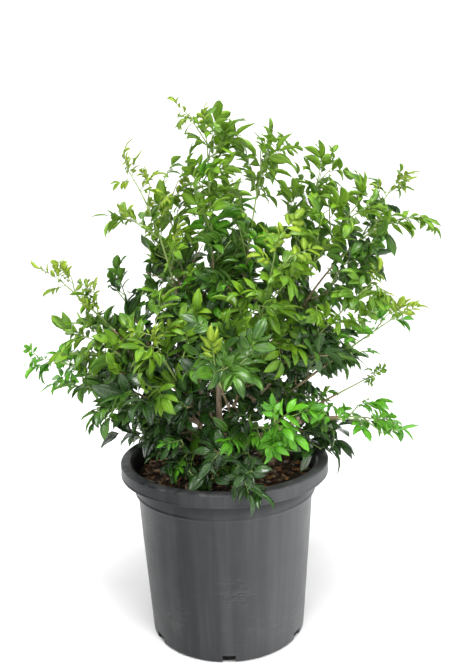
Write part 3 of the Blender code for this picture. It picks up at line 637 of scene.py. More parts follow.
# A shoot runs from its parent to its tip. share says where it leaves the parent's path, and fork at what
# angle to it, in degrees. bearing, reach and height place the tip round the pot's axis, in degrees and
# metres. bend and crest place the point that the shoot bows towards: its share of the way out, and its
# height. bough says how much of the shoot is bare bough before its foliage starts, and 0 grows the
# foliage straight from the trunk. spray is how far the foliage may stand off the shoot near its tip, and
# leaf the size of its leaves. seed varies its twigs and leaves.
Shoot = namedtuple("Shoot", "name parent share fork bearing reach height bend crest bough spray leaf seed")
SHOOTS = (
    Shoot("leader", "trunk", 0.90, 3, 145, 0.018, 0.838, 0.50, 0.640, 0.32, 0.070, 0.85, 401),
    Shoot("upper_right", "leader", 0.22, 40, 14, 0.098, 0.800, 0.42, 0.690, 0.24, 0.075, 0.95, 702),
    Shoot("top_right", "upper_right", 0.18, 40, 20, 0.192, 0.775, 0.75, 0.640, 0.28, 0.060, 0.90, 503),
    Shoot("upper_mid", "leader", 0.28, 42, 150, 0.105, 0.745, 0.75, 0.640, 0.26, 0.060, 1.00, 204),
    Shoot("upper_left", "trunk", 0.74, 38, 189, 0.158, 0.770, 0.30, 0.650, 0.28, 0.030, 0.80, 405),
    Shoot("left_arm", "trunk", 0.45, 42, 184, 0.277, 0.606, 0.62, 0.520, 0.42, 0.030, 0.80, 506),
    Shoot("left_high", "upper_left", 0.22, 34, 168, 0.192, 0.652, 0.30, 0.720, 0.28, 0.028, 0.90, 207),
    Shoot("left_low", "left_arm", 0.18, 36, 172, 0.334, 0.450, 0.62, 0.440, 0.26, 0.028, 0.90, 1008),
    Shoot("left_mid", "left_arm", 0.26, 32, 192, 0.262, 0.508, 0.55, 0.500, 0.24, 0.040, 1.00, 309),
    Shoot("left_spray", "left_arm", 0.36, 30, 184, 0.154, 0.612, 1.10, 0.540, 0.36, 0.024, 0.90, 810),
    Shoot("low_left", "trunk", 0.30, 46, 202, 0.228, 0.378, 0.60, 0.430, 0, 0.045, 1.00, 1211),
    Shoot("low_left_back", "trunk", 0.12, 46, 162, 0.200, 0.296, 0.75, 0.380, 0, 0.050, 1.00, 512),
    Shoot("right_arm", "trunk", 0.70, 40, 10, 0.306, 0.744, 0.66, 0.580, 0.35, 0.030, 0.85, 813),
    Shoot("right_out", "right_arm", 0.30, 30, -6, 0.326, 0.656, 0.50, 0.680, 0.24, 0.026, 0.85, 714),
    Shoot("right_high", "right_arm", 0.20, 36, -10, 0.238, 0.706, 0.60, 0.640, 0.28, 0.060, 0.95, 1115),
    Shoot("right_mid", "trunk", 0.50, 44, -8, 0.312, 0.540, 0.62, 0.460, 0.36, 0.030, 0.90, 516),
    Shoot("right_low", "trunk", 0.21, 48, -20, 0.306, 0.348, 0.60, 0.400, 0.52, 0.028, 0.85, 1317),
    Shoot("right_sparse", "right_low", 0.47, 40, -10, 0.268, 0.442, 0.45, 0.390, 0.30, 0.020, 0.50, 818),
    Shoot("right_droop", "right_low", 0.17, 30, -2, 0.202, 0.288, 0.80, 0.340, 0.34, 0.040, 1.00, 819),
    Shoot("front_right", "trunk", 0.40, 46, -58, 0.200, 0.360, 0.65, 0.390, 0, 0.060, 0.85, 120),
    Shoot("front", "trunk", 0.25, 50, -80, 0.200, 0.276, 0.80, 0.350, 0, 0.050, 0.85, 221),
    Shoot("front_left", "trunk", 0.08, 42, -122, 0.142, 0.290, 0.75, 0.350, 0, 0.060, 0.80, 922),
    Shoot("left_front", "trunk", 0.62, 46, -126, 0.184, 0.560, 0.75, 0.450, 0.28, 0.060, 0.95, 523),
    Shoot("centre_right", "trunk", 0.66, 40, -58, 0.166, 0.676, 0.75, 0.520, 0.28, 0.065, 0.95, 1124),
    Shoot("centre_front", "centre_right", 0.22, 40, -94, 0.200, 0.524, 0.75, 0.450, 0.24, 0.080, 0.95, 425),
    Shoot("right_front", "right_arm", 0.13, 36, -26, 0.262, 0.590, 0.75, 0.540, 0.28, 0.050, 0.95, 826),
    Shoot("back_left", "trunk", 0.62, 46, 117, 0.246, 0.630, 0.75, 0.480, 0.30, 0.060, 1.00, 1227),
    Shoot("back", "leader", 0.14, 42, 82, 0.202, 0.736, 0.75, 0.560, 0.28, 0.060, 1.00, 1228),
    Shoot("back_right", "trunk", 0.57, 46, 50, 0.284, 0.612, 0.75, 0.480, 0.30, 0.060, 1.00, 129),
    Shoot("back_low_left", "back_left", 0.16, 34, 134, 0.305, 0.420, 0.65, 0.420, 0.30, 0.050, 1.00, 130),
    Shoot("back_low_right", "trunk", 0.30, 46, 40, 0.330, 0.420, 0.65, 0.420, 0, 0.050, 1.00, 631),
    Shoot("back_low", "trunk", 0.14, 46, 96, 0.210, 0.350, 0.75, 0.400, 0, 0.060, 1.00, 32),
)


def blend(low, high, share):
    """The value at a share of the way from low to high."""
    return low + (high - low) * share


class Path:
    """A bowed path from a start to an end, read by its share from 0 to 1.

    It is a cubic Bezier curve: it sets out towards lead, and comes in from bend.
    """

    SAMPLES = 60

    def __init__(self, start, lead, bend, end):
        self.start = start
        self.lead = lead
        self.bend = bend
        self.end = end
        points = [self.at(i / self.SAMPLES) for i in range(self.SAMPLES + 1)]
        self.length = sum((b - a).length for a, b in zip(points, points[1:]))

    def at(self, share):
        rest = 1.0 - share
        near = self.start * rest ** 3 + self.lead * 3.0 * rest ** 2 * share
        return near + self.bend * 3.0 * rest * share ** 2 + self.end * share ** 3

    def heading(self, share):
        rest = 1.0 - share
        slope = (self.lead - self.start) * rest ** 2 + (self.bend - self.lead) * 2.0 * rest * share
        return (slope + (self.end - self.bend) * share ** 2).normalized()

    def shares(self, low, high, step):
        """Even shares from low to high, about a step apart."""
        count = max(2, round(self.length * (high - low) / step))
        return [blend(low, high, i / count) for i in range(count + 1)]

    def points(self, shares):
        return [self.at(share) for share in shares]


def shoot_path(shoot, paths):
    """The path of a shoot, from the axis of its parent to its tip."""
    start = paths[shoot.parent].at(shoot.share)
    bearing = math.radians(shoot.bearing)
    tip = Vector((shoot.reach * math.cos(bearing), shoot.reach * math.sin(bearing), shoot.height))
    bend = start.lerp(tip, shoot.bend)
    bend.z = shoot.crest
    along = paths[shoot.parent].heading(shoot.share)
    outward = bend - start
    outward = (outward - along * outward.dot(along)).normalized()
    fork = math.radians(shoot.fork)
    leaving = along * math.cos(fork) + outward * math.sin(fork)
    lead = start + leaving * (tip - start).length * LEAD_SHARE
    return Path(start, lead, bend, tip)


def trunk_rings(shares):
    """The trunk's path, and points and radii along it, upright at its flat foot and flared there."""
    rise = Vector((0.0, 0.0, (TRUNK_FORK.z - TRUNK_FOOT.z) / 3))
    path = Path(TRUNK_FOOT, TRUNK_FOOT + rise, TRUNK_FORK - rise, TRUNK_FORK)
    points = []
    radii = []
    for share in shares:
        point = path.at(share)
        flare = max(0.0, 1.0 - (point.z - TRUNK_FOOT.z) / FLARE_HEIGHT)
        points.append(point)
        flared = (FLARE_RADIUS - TRUNK_RADIUS) * flare * flare
        radii.append(blend(TRUNK_RADIUS, TRUNK_TOP_RADIUS, share) + flared)
    return path, points, radii


def root_radius(shoot):
    """Radius of a shoot where it leaves its parent."""
    if shoot.name == "leader":
        return LEADER_RADIUS
    if shoot.parent == "trunk":
        return STEM_RADIUS
    return BRANCH_RADIUS


def bough_rings(shoot, path, step):
    """Points and radii of a bough, from its parent's axis to the end where its foliage takes over."""
    square = SQUARE_END / path.length
    shares = path.shares(0.0, shoot.bough - square, step) + [shoot.bough]
    root = root_radius(shoot)
    radii = [blend(root, root * BOUGH_TIP_SHARE, share / shoot.bough) for share in shares]
    return path.points(shares), radii


class Batch:
    """Points, faces, slots and UVs of many like things that become one mesh."""

    def __init__(self):
        self.points = []
        self.faces = []
        self.slots = []
        self.places = []
        self.size = 0

    def add(self, points, faces, slots, places=None):
        self.points.append(np.asarray(points, dtype=float))
        self.faces.extend([tuple(self.size + corner for corner in face) for face in faces])
        self.slots.extend(slots)
        if places is not None:
            self.places.extend(places)
        self.size += len(points)

    def piece(self, name, materials):
        """The finished object, smooth, with its materials."""
        mesh = bpy.data.meshes.new(name)
        mesh.from_pydata(np.concatenate(self.points).tolist(), [], self.faces)
        for look in materials:
            mesh.materials.append(look)
        mesh.polygons.foreach_set("material_index", self.slots)
        if self.places:
            layer = mesh.uv_layers.new(name="blade")
            layer.data.foreach_set("uv", np.array(self.places, dtype=np.float32).ravel())
        mesh.shade_smooth()
        return placed(name, mesh)


def tube_rings(points, radii, sides, relief=0.0, seed=0.0):
    """Rings of points round a line, with furrows that run along it."""
    rings = []
    side = (points[1] - points[0]).orthogonal().normalized()
    for index, (point, radius) in enumerate(zip(points, radii)):
        before = points[max(0, index - 1)]
        after = points[min(len(points) - 1, index + 1)]
        along = (after - before).normalized()
        side = (side - along * side.dot(along)).normalized()
        other = along.cross(side)
        ring = []
        for step in range(sides):
            angle = math.tau * step / sides
            out = side * math.cos(angle) + other * math.sin(angle)
            bulge = 0.0
            if relief:
                x, y = math.cos(angle), math.sin(angle)
                for pace, climb, offset, depth in BARK_RIDGES:
                    spot = Vector((x * pace, y * pace, index * climb + seed + offset))
                    bulge += noise.noise(spot) * depth
            ring.append(point + out * (radius + relief * bulge))
        rings.append(ring)
    return rings


def add_tube(batch, points, radii, sides, slot_of_ring, relief=0.0, seed=0.0):
    """Adds a closed tube to a batch. slot_of_ring gives the material number of each stretch."""
    rings = tube_rings(points, radii, sides, relief, seed)
    corners = [tuple(corner) for ring in rings for corner in ring]
    faces = []
    slots = []
    for row in range(len(rings) - 1):
        for step in range(sides):
            after = (step + 1) % sides
            low, high = row * sides, (row + 1) * sides
            faces.append((low + step, low + after, high + after, high + step))
            slots.append(slot_of_ring(row))
    last = (len(rings) - 1) * sides
    faces.append(tuple(reversed(range(sides))))
    faces.append(tuple(last + step for step in range(sides)))
    slots += [slot_of_ring(0), slot_of_ring(len(rings) - 2)]
    batch.add(corners, faces, slots)


def bark():
    """Thin tan bark, streaked lengthwise and dotted with pale lenticels."""
    look = Look("bark_tan")
    place = look.place()
    streak = look.noise(look.stretched(place, 1.0, 1.0, 0.18), 520.0, 5.0, 0.62)
    patch = look.noise(place, 46.0, 3.0, 0.6)
    dots = look.noise(look.stretched(place, 1.0, 1.0, 1.6), 700.0, 1.0).ramp(0.66, 0.72)
    base = look.mix((streak * 0.65 + patch * 0.55).ramp(0.42, 0.78), BARK_DARK, BARK_TAN)
    look.set("Base Color", look.mix(dots * 0.7, base, BARK_PALE))
    look.set("Roughness", streak * 0.3 + 0.55)
    look.bump(streak + dots * 0.4, 0.0007, 0.8)
    return look.material


bark_look = bark()
trunk_path, trunk_points, trunk_radii = trunk_rings([i / TRUNK_RINGS for i in range(TRUNK_RINGS + 1)])
paths = {"trunk": trunk_path}
for shoot in SHOOTS:
    paths[shoot.name] = shoot_path(shoot, paths)

trunk_batch = Batch()
add_tube(trunk_batch, trunk_points, trunk_radii, TRUNK_SIDES, lambda row: 0, TRUNK_RELIEF)
trunk = trunk_batch.piece("trunk_barked", [bark_look])
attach(trunk, "root")
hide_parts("trunk")

for number, shoot in enumerate(SHOOTS):
    if shoot.bough == 0:
        continue
    points, radii = bough_rings(shoot, paths[shoot.name], FINE_STEP)
    gone = [0.0]
    for first, second in zip(points, points[1:]):
        gone.append(gone[-1] + (second - first).length)
    parent_radius = TRUNK_RADIUS if shoot.parent == "trunk" else BRANCH_RADIUS
    for ring, way in enumerate(gone):
        swell = max(0.0, 1.0 - max(0.0, way - parent_radius) / COLLAR_REACH)
        radii[ring] *= 1.0 + COLLAR_SWELL * swell * swell
    bough_batch = Batch()
    add_tube(bough_batch, points, radii, BARK_SIDES, lambda row: 0, BARK_RELIEF, number * 7.3)
    bough = bough_batch.piece("bough_" + shoot.name + "_barked", [bark_look])
    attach(bough, "root")
    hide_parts("bough_" + shoot.name)


# Foliage
# Feathered leaves of two to nine leaflets and one at the tip, set to the left and right of green twigs.
# The old leaflets are leathery, glossy and dark, with a pale midrib and a paler underside. The young ones
# at the tips of the shoots are small, thin and yellow-green. The masses' twigs and leaf places follow the
# same rule as the solids, and are then filled in with finer twigs.
GOLDEN_ANGLE = math.radians(137.5)
TWIG_STEP = 0.027
TWIG_LENGTH = 0.080
TWIG_TIP_SHARE = 0.7
SPREAD = 0.115
BEYOND_TIP = 0.004
LEAF_TRIES = 5
TWIG_ROOT_SHARE = 0.64
TWIG_TIP_RADIUS = 0.0010
FINE_TWIG_RADIUS = BRANCH_RADIUS * 0.4
ROOT_DEPTH = 0.0004
TIP_ROOT_DEPTH = 0.0016
TWIG_ANGLE = math.radians(55)
TWIG_TIP_ANGLE = math.radians(38)
LEAF_LENGTH = 0.068
LEAF_WIDTH = 0.64
LEAF_THICKNESS = 0.0022
LEAF_WIDEST = 0.42
LEAF_STEP = 0.029
TIP_LEAF_SIZE = 0.86
TIP_LEAF_SPARE = 0.06
TWIG_LIFT = 0.15
BARE_TIP = 0.012
LEAF_WANDER = 0.16
LEAF_SHRINK = 0.08
BARE_ROOT_SHARE = 0.25
LEAF_ANGLE = math.radians(52)
AXIS_STEP = 0.004
SPACE_MARGIN = 0.0022
LIMB_MARGIN = 0.0045
POT_MARGIN = 0.0045
# The finer leaves stand this far apart on a twig or stem, closer at the stem's tip, and are a bit smaller
FILL_STEP = 0.030
FILL_LEAF_SIZE = 0.88
FINE_LEAF_SPREAD = (0.8, 1.1)
TIP_CROWDING = 0.45
# Short leafy twigs grow this far apart on a bough, from this share of its bare length to this share of the
# shoot
SHORT_TWIG_STEP = 0.040
CLOTHED_FROM = 0.40
CLOTHED_SHARE = 0.55
SHORT_TWIG_LENGTH = (0.030, 0.065)
SHORT_TWIG_LEAF_STEP = 0.024
SHORT_TWIG_BARE_ROOT = 0.020
SHORT_TWIG_LEAF_SIZE = 0.80
SHORT_TWIG_TIP_LEAF_SIZE = 0.9

# Windows in the crown, where sky shows from the front. Each is a place across and up on the upright plane
# through the trunk, and its half width and half height there. Before the trunk's fork only the leaves on
# the near side leave room, so that bare stems show.
Window = namedtuple("Window", "across up half_width half_height")
WINDOWS = (
    Window(0.069, 0.672, 0.027, 0.022),
    Window(0.016, 0.654, 0.009, 0.016),
    Window(-0.022, 0.600, 0.009, 0.012),
    Window(0.064, 0.571, 0.012, 0.014),
    Window(0.107, 0.616, 0.009, 0.008),
    Window(0.155, 0.570, 0.018, 0.017),
    Window(-0.148, 0.634, 0.035, 0.015),
    Window(-0.128, 0.598, 0.019, 0.036),
    Window(-0.106, 0.510, 0.012, 0.009),
    Window(-0.131, 0.697, 0.023, 0.017),
    Window(-0.070, 0.722, 0.013, 0.011),
    Window(-0.252, 0.542, 0.028, 0.014),
    Window(-0.165, 0.339, 0.019, 0.008),
    Window(0.292, 0.587, 0.034, 0.016),
    Window(0.266, 0.468, 0.036, 0.016),
    Window(0.190, 0.517, 0.017, 0.012),
    Window(0.163, 0.407, 0.022, 0.014),
    Window(0.200, 0.388, 0.024, 0.014),
)
FORK_WINDOW = Window(-0.014, 0.360, 0.034, 0.042)
# Windows that only the finer leaves keep open: onto the mix at the left, and onto sky
FINE_WINDOWS = (
    Window(-0.134, 0.275, 0.034, 0.026),
    Window(-0.142, 0.642, 0.038, 0.019),
    Window(-0.133, 0.562, 0.027, 0.030),
    Window(0.196, 0.734, 0.028, 0.015),
    Window(0.228, 0.483, 0.030, 0.024),
    Window(0.201, 0.315, 0.015, 0.026),
    Window(0.283, 0.587, 0.018, 0.016),
)
# The finer leaves leave room for only a few of the stems
SMALL_FORK_WINDOW = Window(-0.008, 0.374, 0.023, 0.030)
FINE_OPENING = 0.80

# Stray twigs with one leaf each. A stray leaves its shoot's path at a share of it, and its leaf ends at the
# place of its tip
Stray = namedtuple("Stray", "shoot share tip")
STRAYS = (
    Stray("upper_mid", 0.80, (-0.050, 0.040, 0.752)),
    Stray("leader", 0.88, (0.037, 0.000, 0.814)),
    Stray("leader", 0.78, (0.025, -0.010, 0.757)),
    Stray("upper_right", 0.80, (0.110, 0.020, 0.709)),
    Stray("upper_right", 0.50, (0.082, -0.020, 0.646)),
    Stray("right_arm", 0.80, (0.285, 0.040, 0.613)),
    Stray("right_arm", 0.72, (0.269, 0.030, 0.575)),
    Stray("right_out", 0.93, (0.328, -0.030, 0.624)),
    Stray("left_spray", 0.72, (-0.173, -0.010, 0.571)),
    Stray("left_spray", 0.88, (-0.143, -0.020, 0.611)),
    Stray("low_left", 0.88, (-0.195, -0.080, 0.350)),
    Stray("right_arm", 0.93, (0.297, 0.050, 0.732)),
    Stray("leader", 0.91, (-0.036, 0.000, 0.808)),
    Stray("leader", 0.85, (0.060, -0.010, 0.787)),
    Stray("upper_right", 0.74, (0.076, -0.010, 0.712)),
    Stray("upper_mid", 0.91, (-0.059, 0.020, 0.763)),
    Stray("left_low", 0.90, (-0.315, 0.030, 0.470)),
    Stray("top_right", 0.84, (0.138, 0.040, 0.751)),
    Stray("right_mid", 0.64, (0.221, -0.040, 0.450)),
)

# Leaf tones: colour, how deep and how pale it gets, roughness, and the weight of its glossy coat
Tone = namedtuple("Tone", "name colour deep pale gloss coat")
TONES = (
    Tone("dark", (0.027, 0.088, 0.009), (0.007, 0.028, 0.004), (0.10, 0.19, 0.055), 0.30, 0.24),
    Tone("green", (0.072, 0.196, 0.010), (0.019, 0.070, 0.005), (0.16, 0.29, 0.050), 0.34, 0.15),
    Tone("bright", (0.115, 0.400, 0.012), (0.044, 0.190, 0.008), (0.25, 0.50, 0.065), 0.38, 0.09),
    Tone("fresh", (0.164, 0.334, 0.011), (0.056, 0.150, 0.006), (0.27, 0.43, 0.065), 0.40, 0.07),
    Tone("lime", (0.275, 0.415, 0.020), (0.140, 0.260, 0.011), (0.40, 0.51, 0.095), 0.44, 0.04),
)
TONE_NUMBERS = {tone.name: number for number, tone in enumerate(TONES)}
# Leaves nearer to the root of a shoot than this share of its foliage are a tone darker
SHADED_SHARE = 0.13

# Which tones a shoot's old, young and tip leaves have, and from which share of the way on the young and
# the tip leaves start
Season = namedtuple("Season", "old young tip turn tips")
SEASONS = {
    "leader": Season("green", "fresh", "lime", 0.55, 0.97),
    "upper_right": Season("green", "fresh", "fresh", 0.60, 0.92),
    "top_right": Season("green", "fresh", "fresh", 0.62, 0.92),
    "upper_mid": Season("green", "fresh", "lime", 0.45, 0.90),
    "upper_left": Season("green", "fresh", "lime", 0.35, 0.58),
    "left_arm": Season("green", "fresh", "lime", 0.40, 0.62),
    "left_high": Season("green", "fresh", "fresh", 0.50, 1.20),
    "left_low": Season("green", "bright", "bright", 0.60, 0.90),
    "left_mid": Season("green", "fresh", "fresh", 0.35, 0.97),
    "left_spray": Season("dark", "green", "green", 0.50, 1.20),
    "low_left": Season("dark", "green", "fresh", 0.60, 1.20),
    "low_left_back": Season("dark", "dark", "dark", 1.20, 1.20),
    "right_arm": Season("green", "fresh", "lime", 0.70, 0.86),
    "right_out": Season("green", "fresh", "fresh", 0.70, 1.20),
    "right_high": Season("green", "fresh", "lime", 0.45, 1.00),
    "right_mid": Season("dark", "bright", "lime", 0.50, 0.82),
    "right_sparse": Season("bright", "bright", "fresh", 0.40, 0.60),
    "right_low": Season("green", "bright", "bright", 0.30, 1.20),
    "right_droop": Season("dark", "dark", "dark", 1.20, 1.20),
    "front_right": Season("green", "bright", "bright", 0.50, 1.20),
    "front": Season("dark", "dark", "green", 0.60, 1.20),
    "front_left": Season("dark", "dark", "bright", 0.60, 0.90),
    "left_front": Season("dark", "fresh", "lime", 0.46, 0.84),
    "centre_right": Season("dark", "fresh", "lime", 0.34, 0.80),
    "centre_front": Season("dark", "green", "lime", 0.50, 0.84),
    "right_front": Season("dark", "fresh", "lime", 0.45, 0.88),
    "back_left": Season("dark", "green", "green", 0.60, 1.20),
    "back": Season("green", "fresh", "fresh", 0.80, 1.20),
    "back_right": Season("green", "green", "fresh", 0.80, 1.20),
    "back_low_left": Season("dark", "green", "green", 0.60, 1.20),
    "back_low_right": Season("dark", "green", "green", 0.60, 1.20),
    "back_low": Season("dark", "dark", "green", 0.70, 1.20),
}


class Spaces:
    """Knows which mass a point belongs to, and how near it is to a limb, the pot or the mix."""

    def __init__(self, masses, sprays, limbs):
        self.names = list(masses)
        self.sprays = sprays
        self.axes = [np.array([tuple(p) for p in masses[name]]) for name in self.names]
        self.limb_points = np.array([tuple(p) for points, radii in limbs for p in points])
        self.limb_radii = np.array([r for points, radii in limbs for r in radii])

    def owns(self, name, points):
        """True where points lie nearer to this mass's stem than to any other, and within its spread."""
        spots = np.array([tuple(p) for p in points])
        gaps = [np.linalg.norm(spots[:, None] - axis[None], axis=2) for axis in self.axes]
        own = gaps[self.names.index(name)]
        axis = self.axes[self.names.index(name)]
        tip_way = (axis[-1] - axis[-3]) / np.linalg.norm(axis[-1] - axis[-3])
        if ((spots - axis[-1]) @ tip_way).max() > BEYOND_TIP:
            return False
        place = own.argmin(axis=1) / (own.shape[1] - 1)
        own = own.min(axis=1)
        rest = np.min([gap.min(axis=1) for other, gap in zip(self.names, gaps) if other != name], axis=0)
        spread = blend(SPREAD, self.sprays[name], place)
        return bool(np.all(own + SPACE_MARGIN < rest) and np.all(own < spread))

    def clear_of_limbs(self, points, margin):
        spots = np.array([tuple(p) for p in points])
        gaps = np.linalg.norm(spots[:, None] - self.limb_points[None], axis=2) - self.limb_radii[None]
        return bool(gaps.min() > margin)

    def clear_of_windows(self, points, windows, fork_window, opening):
        """True where no point hides a window, opened to a share of its size, from the camera."""
        for point in points:
            sight = point - CAMERA_PLACE
            seen = CAMERA_PLACE - sight * (CAMERA_PLACE.y / sight.y)
            for window in windows + (fork_window,) * (point.y < 0.0):
                across = (seen.x - window.across) / window.half_width
                up = (seen.z - window.up) / window.half_height
                if across * across + up * up < opening * opening:
                    return False
        return True

    def clear_of_pot(self, points):
        for point in points:
            radius = math.hypot(point.x, point.y)
            over_rim = point.z > POT_HEIGHT + POT_MARGIN
            beside = radius > RIM_RADIUS + POT_MARGIN
            surface = MIX_LEVEL + MIX_CROWN + POT_MARGIN
            inside = radius < BODY_TOP_RADIUS - WALL - POT_MARGIN and point.z > surface
            if not (over_rim or beside or inside):
                return False
        return True


def leaf_frame(root, heading, normal):
    """The matrix that lays a leaf along its heading with its upper side along the normal."""
    along = heading.normalized()
    across = normal.cross(along).normalized()
    upper = along.cross(across)
    return Matrix.Translation(root) @ Matrix((across, upper, along)).transposed().to_4x4()


def leaf_spots(frame, length):
    """Points spread over a leaf's blade, about 9 mm apart."""
    spots = []
    steps = 8
    for i in range(1, steps + 1):
        share = i / steps
        half = min(share / LEAF_WIDEST, (1.0 - share) / (1.0 - LEAF_WIDEST)) * length * LEAF_WIDTH / 2
        for side in (-1.0, 0.0, 1.0):
            spots.append(frame @ Vector((half * side, 0.0, share * length)))
    return spots


def leaf_shape(frame, length):
    """The blade that keeps a leaf's place: eight faces, pointed at both ends."""
    shape = bmesh.new()
    bmesh.ops.create_uvsphere(shape, u_segments=4, v_segments=2, radius=1.0)
    for corner in shape.verts:
        end = corner.co.z
        if abs(end) < 0.5:
            place = LEAF_WIDEST
        else:
            place = 0.5 + 0.5 * end
        across = corner.co.x * length * LEAF_WIDTH / 2
        corner.co = frame @ Vector((across, corner.co.y * LEAF_THICKNESS / 2, place * length))
    bmesh.ops.recalc_face_normals(shape, faces=shape.faces)
    return shape


def twig_shape(root, tip, radius):
    """The three-sided twig that keeps a twig's place."""
    shape = bmesh.new()
    span = tip - root
    turn = span.to_track_quat("Z", "Y").to_matrix().to_4x4()
    place = Matrix.Translation((root + tip) / 2) @ turn
    bmesh.ops.create_cone(shape, cap_ends=True, segments=3, radius1=radius, radius2=TWIG_TIP_RADIUS,
                          depth=span.length, matrix=place)
    return shape


def spun(axis, turn, angle):
    """A heading that leaves an axis at an angle, turned round it."""
    side = axis.orthogonal().normalized()
    side.rotate(Matrix.Rotation(turn, 3, axis))
    return (axis * math.cos(angle) + side * math.sin(angle)).normalized()


class Growth:
    """Twigs and leaves of one mass, grown by a seeded rule along the mass's stem."""

    def __init__(self, name, leaf, path, start, stem_radius, spaces, seed):
        self.name = name
        self.leaf = LEAF_LENGTH * leaf
        self.tip_twig = spaces.sprays[name] * TWIG_TIP_SHARE
        self.path = path
        self.start = max(start, BARE_ROOT_SHARE)
        self.spaces = spaces
        self.stem_start = start
        self.stem_radius = stem_radius
        self.end = 1.0 - self.leaf * (TIP_LEAF_SIZE - TIP_LEAF_SPARE) / path.length
        self.dice = random.Random(seed)
        self.trees = []
        self.twigs = []
        self.leaves = []
        self.along = 1.0
        self.twig_trees = []
        self.roams = False
        self.windows = WINDOWS
        self.fork_window = FORK_WINDOW
        self.opening = 1.0

    def radius_at(self, share):
        """Radius of the mass's stem at a share of the path."""
        place = (share - self.stem_start) / (self.end - self.stem_start)
        return blend(self.stem_radius, MASS_TIP_RADIUS, place)

    def crosses(self, tree, holder):
        """True where a shape would cut through a leaf or twig that has grown already."""
        return any(other is not holder and tree.overlap(other) for other in self.trees)

    def fits(self, points, margin):
        return ((self.roams or self.spaces.owns(self.name, points))
                and self.spaces.clear_of_limbs(points, margin)
                and self.spaces.clear_of_pot(points)
                and self.spaces.clear_of_windows(points, self.windows, self.fork_window, self.opening))

    def add_leaf(self, root, heading, length, holder=None, place=1.0, crossing=False):
        """Adds a leaf that arches a little and shows its upper side to the sky and outwards."""
        upright = Vector((0.0, 0.0, 0.7))
        outward = Vector((root.x, root.y, 0.0)).normalized()
        for attempt in range(LEAF_TRIES):
            wander = Vector([self.dice.gauss(0.0, LEAF_WANDER * (1 + attempt)) for axis in range(3)])
            way = (heading + wander).normalized()
            lean = self.dice.uniform(-0.5, 0.5)
            normal = upright + way.cross(upright) * lean + outward
            if abs(normal.normalized().dot(way)) > 0.94:
                normal = way.orthogonal()
            size = length * (1.0 - LEAF_SHRINK * attempt)
            frame = leaf_frame(root, way, normal.normalized())
            if not self.fits(leaf_spots(frame, size)[3:], LIMB_MARGIN):
                continue
            if crossing:
                self.leaves.append((frame, size, self.along, place))
                return True
            shape = leaf_shape(frame, size)
            tree = BVHTree.FromBMesh(shape)
            shape.free()
            if not self.crosses(tree, holder):
                self.trees.append(tree)
                self.leaves.append((frame, size, self.along, place))
                return True
        return False

    def add_twig(self, root, heading, length, radius):
        """Adds a twig at its full length, or shorter where that leaves the mass's space."""
        for size in (1.0, 0.75, 0.5, 0.3):
            tip = root + heading * length * size
            steps = 12
            spots = [root.lerp(tip, i / steps) for i in range(2, steps + 1)]
            if not self.fits(spots, LIMB_MARGIN):
                continue
            shape = twig_shape(root, tip, radius)
            tree = BVHTree.FromBMesh(shape)
            shape.free()
            if any(tree.overlap(leaf) for leaf in self.leaf_trees()):
                continue
            before = len(self.leaves)
            self.dress(root, tip, tree)
            if len(self.leaves) > before:
                self.trees.append(tree)
                self.twigs.append((root, tip, radius, self.along))
                self.twig_trees.append(tree)
                return True
        return False

    def leaf_trees(self):
        return [tree for tree in self.trees if not any(tree is twig for twig in self.twig_trees)]

    def grow(self):
        """A leaf at the tip, and twigs up the stem in a golden-angle spiral, ever shorter and steeper."""
        stem_length = self.path.length * (1.0 - self.start)
        count = max(2, round(stem_length / TWIG_STEP))
        turn = self.dice.uniform(0.0, math.tau)
        tip_root = self.path.at(self.end)
        tip_heading = (self.path.end - tip_root).normalized()
        self.add_leaf(tip_root - tip_heading * TIP_ROOT_DEPTH, tip_heading, self.leaf * TIP_LEAF_SIZE)
        for i in range(count):
            along = (i + 0.5) / count
            self.along = along
            share = blend(self.start, self.end, along)
            axis = self.path.heading(share)
            root = self.path.at(share)
            angle = blend(TWIG_ANGLE, TWIG_TIP_ANGLE, along)
            length = blend(TWIG_LENGTH, self.tip_twig, along) * self.dice.uniform(0.85, 1.15)
            turn += GOLDEN_ANGLE
            for nudge in (0.0, 0.7, -0.7, 1.4, -1.4):
                side = axis.orthogonal().normalized()
                side.rotate(Matrix.Rotation(turn + nudge, 3, axis))
                heading = axis * math.cos(angle) + side * math.sin(angle)
                heading = (heading + Vector((0.0, 0.0, TWIG_LIFT))).normalized()
                if length > self.leaf / 2:
                    grown = self.add_twig(root, heading, length, self.radius_at(share) * TWIG_ROOT_SHARE)
                else:
                    grown = self.add_leaf(root, heading, self.leaf * TIP_LEAF_SIZE)
                if grown:
                    break

    def dress(self, root, tip, holder):
        """Leaves to the left and right of a twig, and one at its tip."""
        span = tip - root
        heading = span.normalized()
        upward = Vector((0.0, 0.0, 1.0)) - heading * heading.z
        if upward.length < 0.2:
            upward = heading.orthogonal()
        across = heading.cross(upward.normalized())
        hand = self.dice.choice((-1.0, 1.0))
        place = LEAF_STEP
        while place < span.length - BARE_TIP:
            out = heading * math.cos(LEAF_ANGLE) + across * hand * math.sin(LEAF_ANGLE)
            spot = root + heading * place
            size = self.leaf * self.dice.uniform(0.85, 1.05)
            self.add_leaf(spot - out * ROOT_DEPTH, out, size, holder, place / span.length)
            hand = -hand
            place += LEAF_STEP
        size = self.leaf * self.dice.uniform(0.9, 1.05)
        self.add_leaf(tip - heading * TIP_ROOT_DEPTH, heading, size, holder)

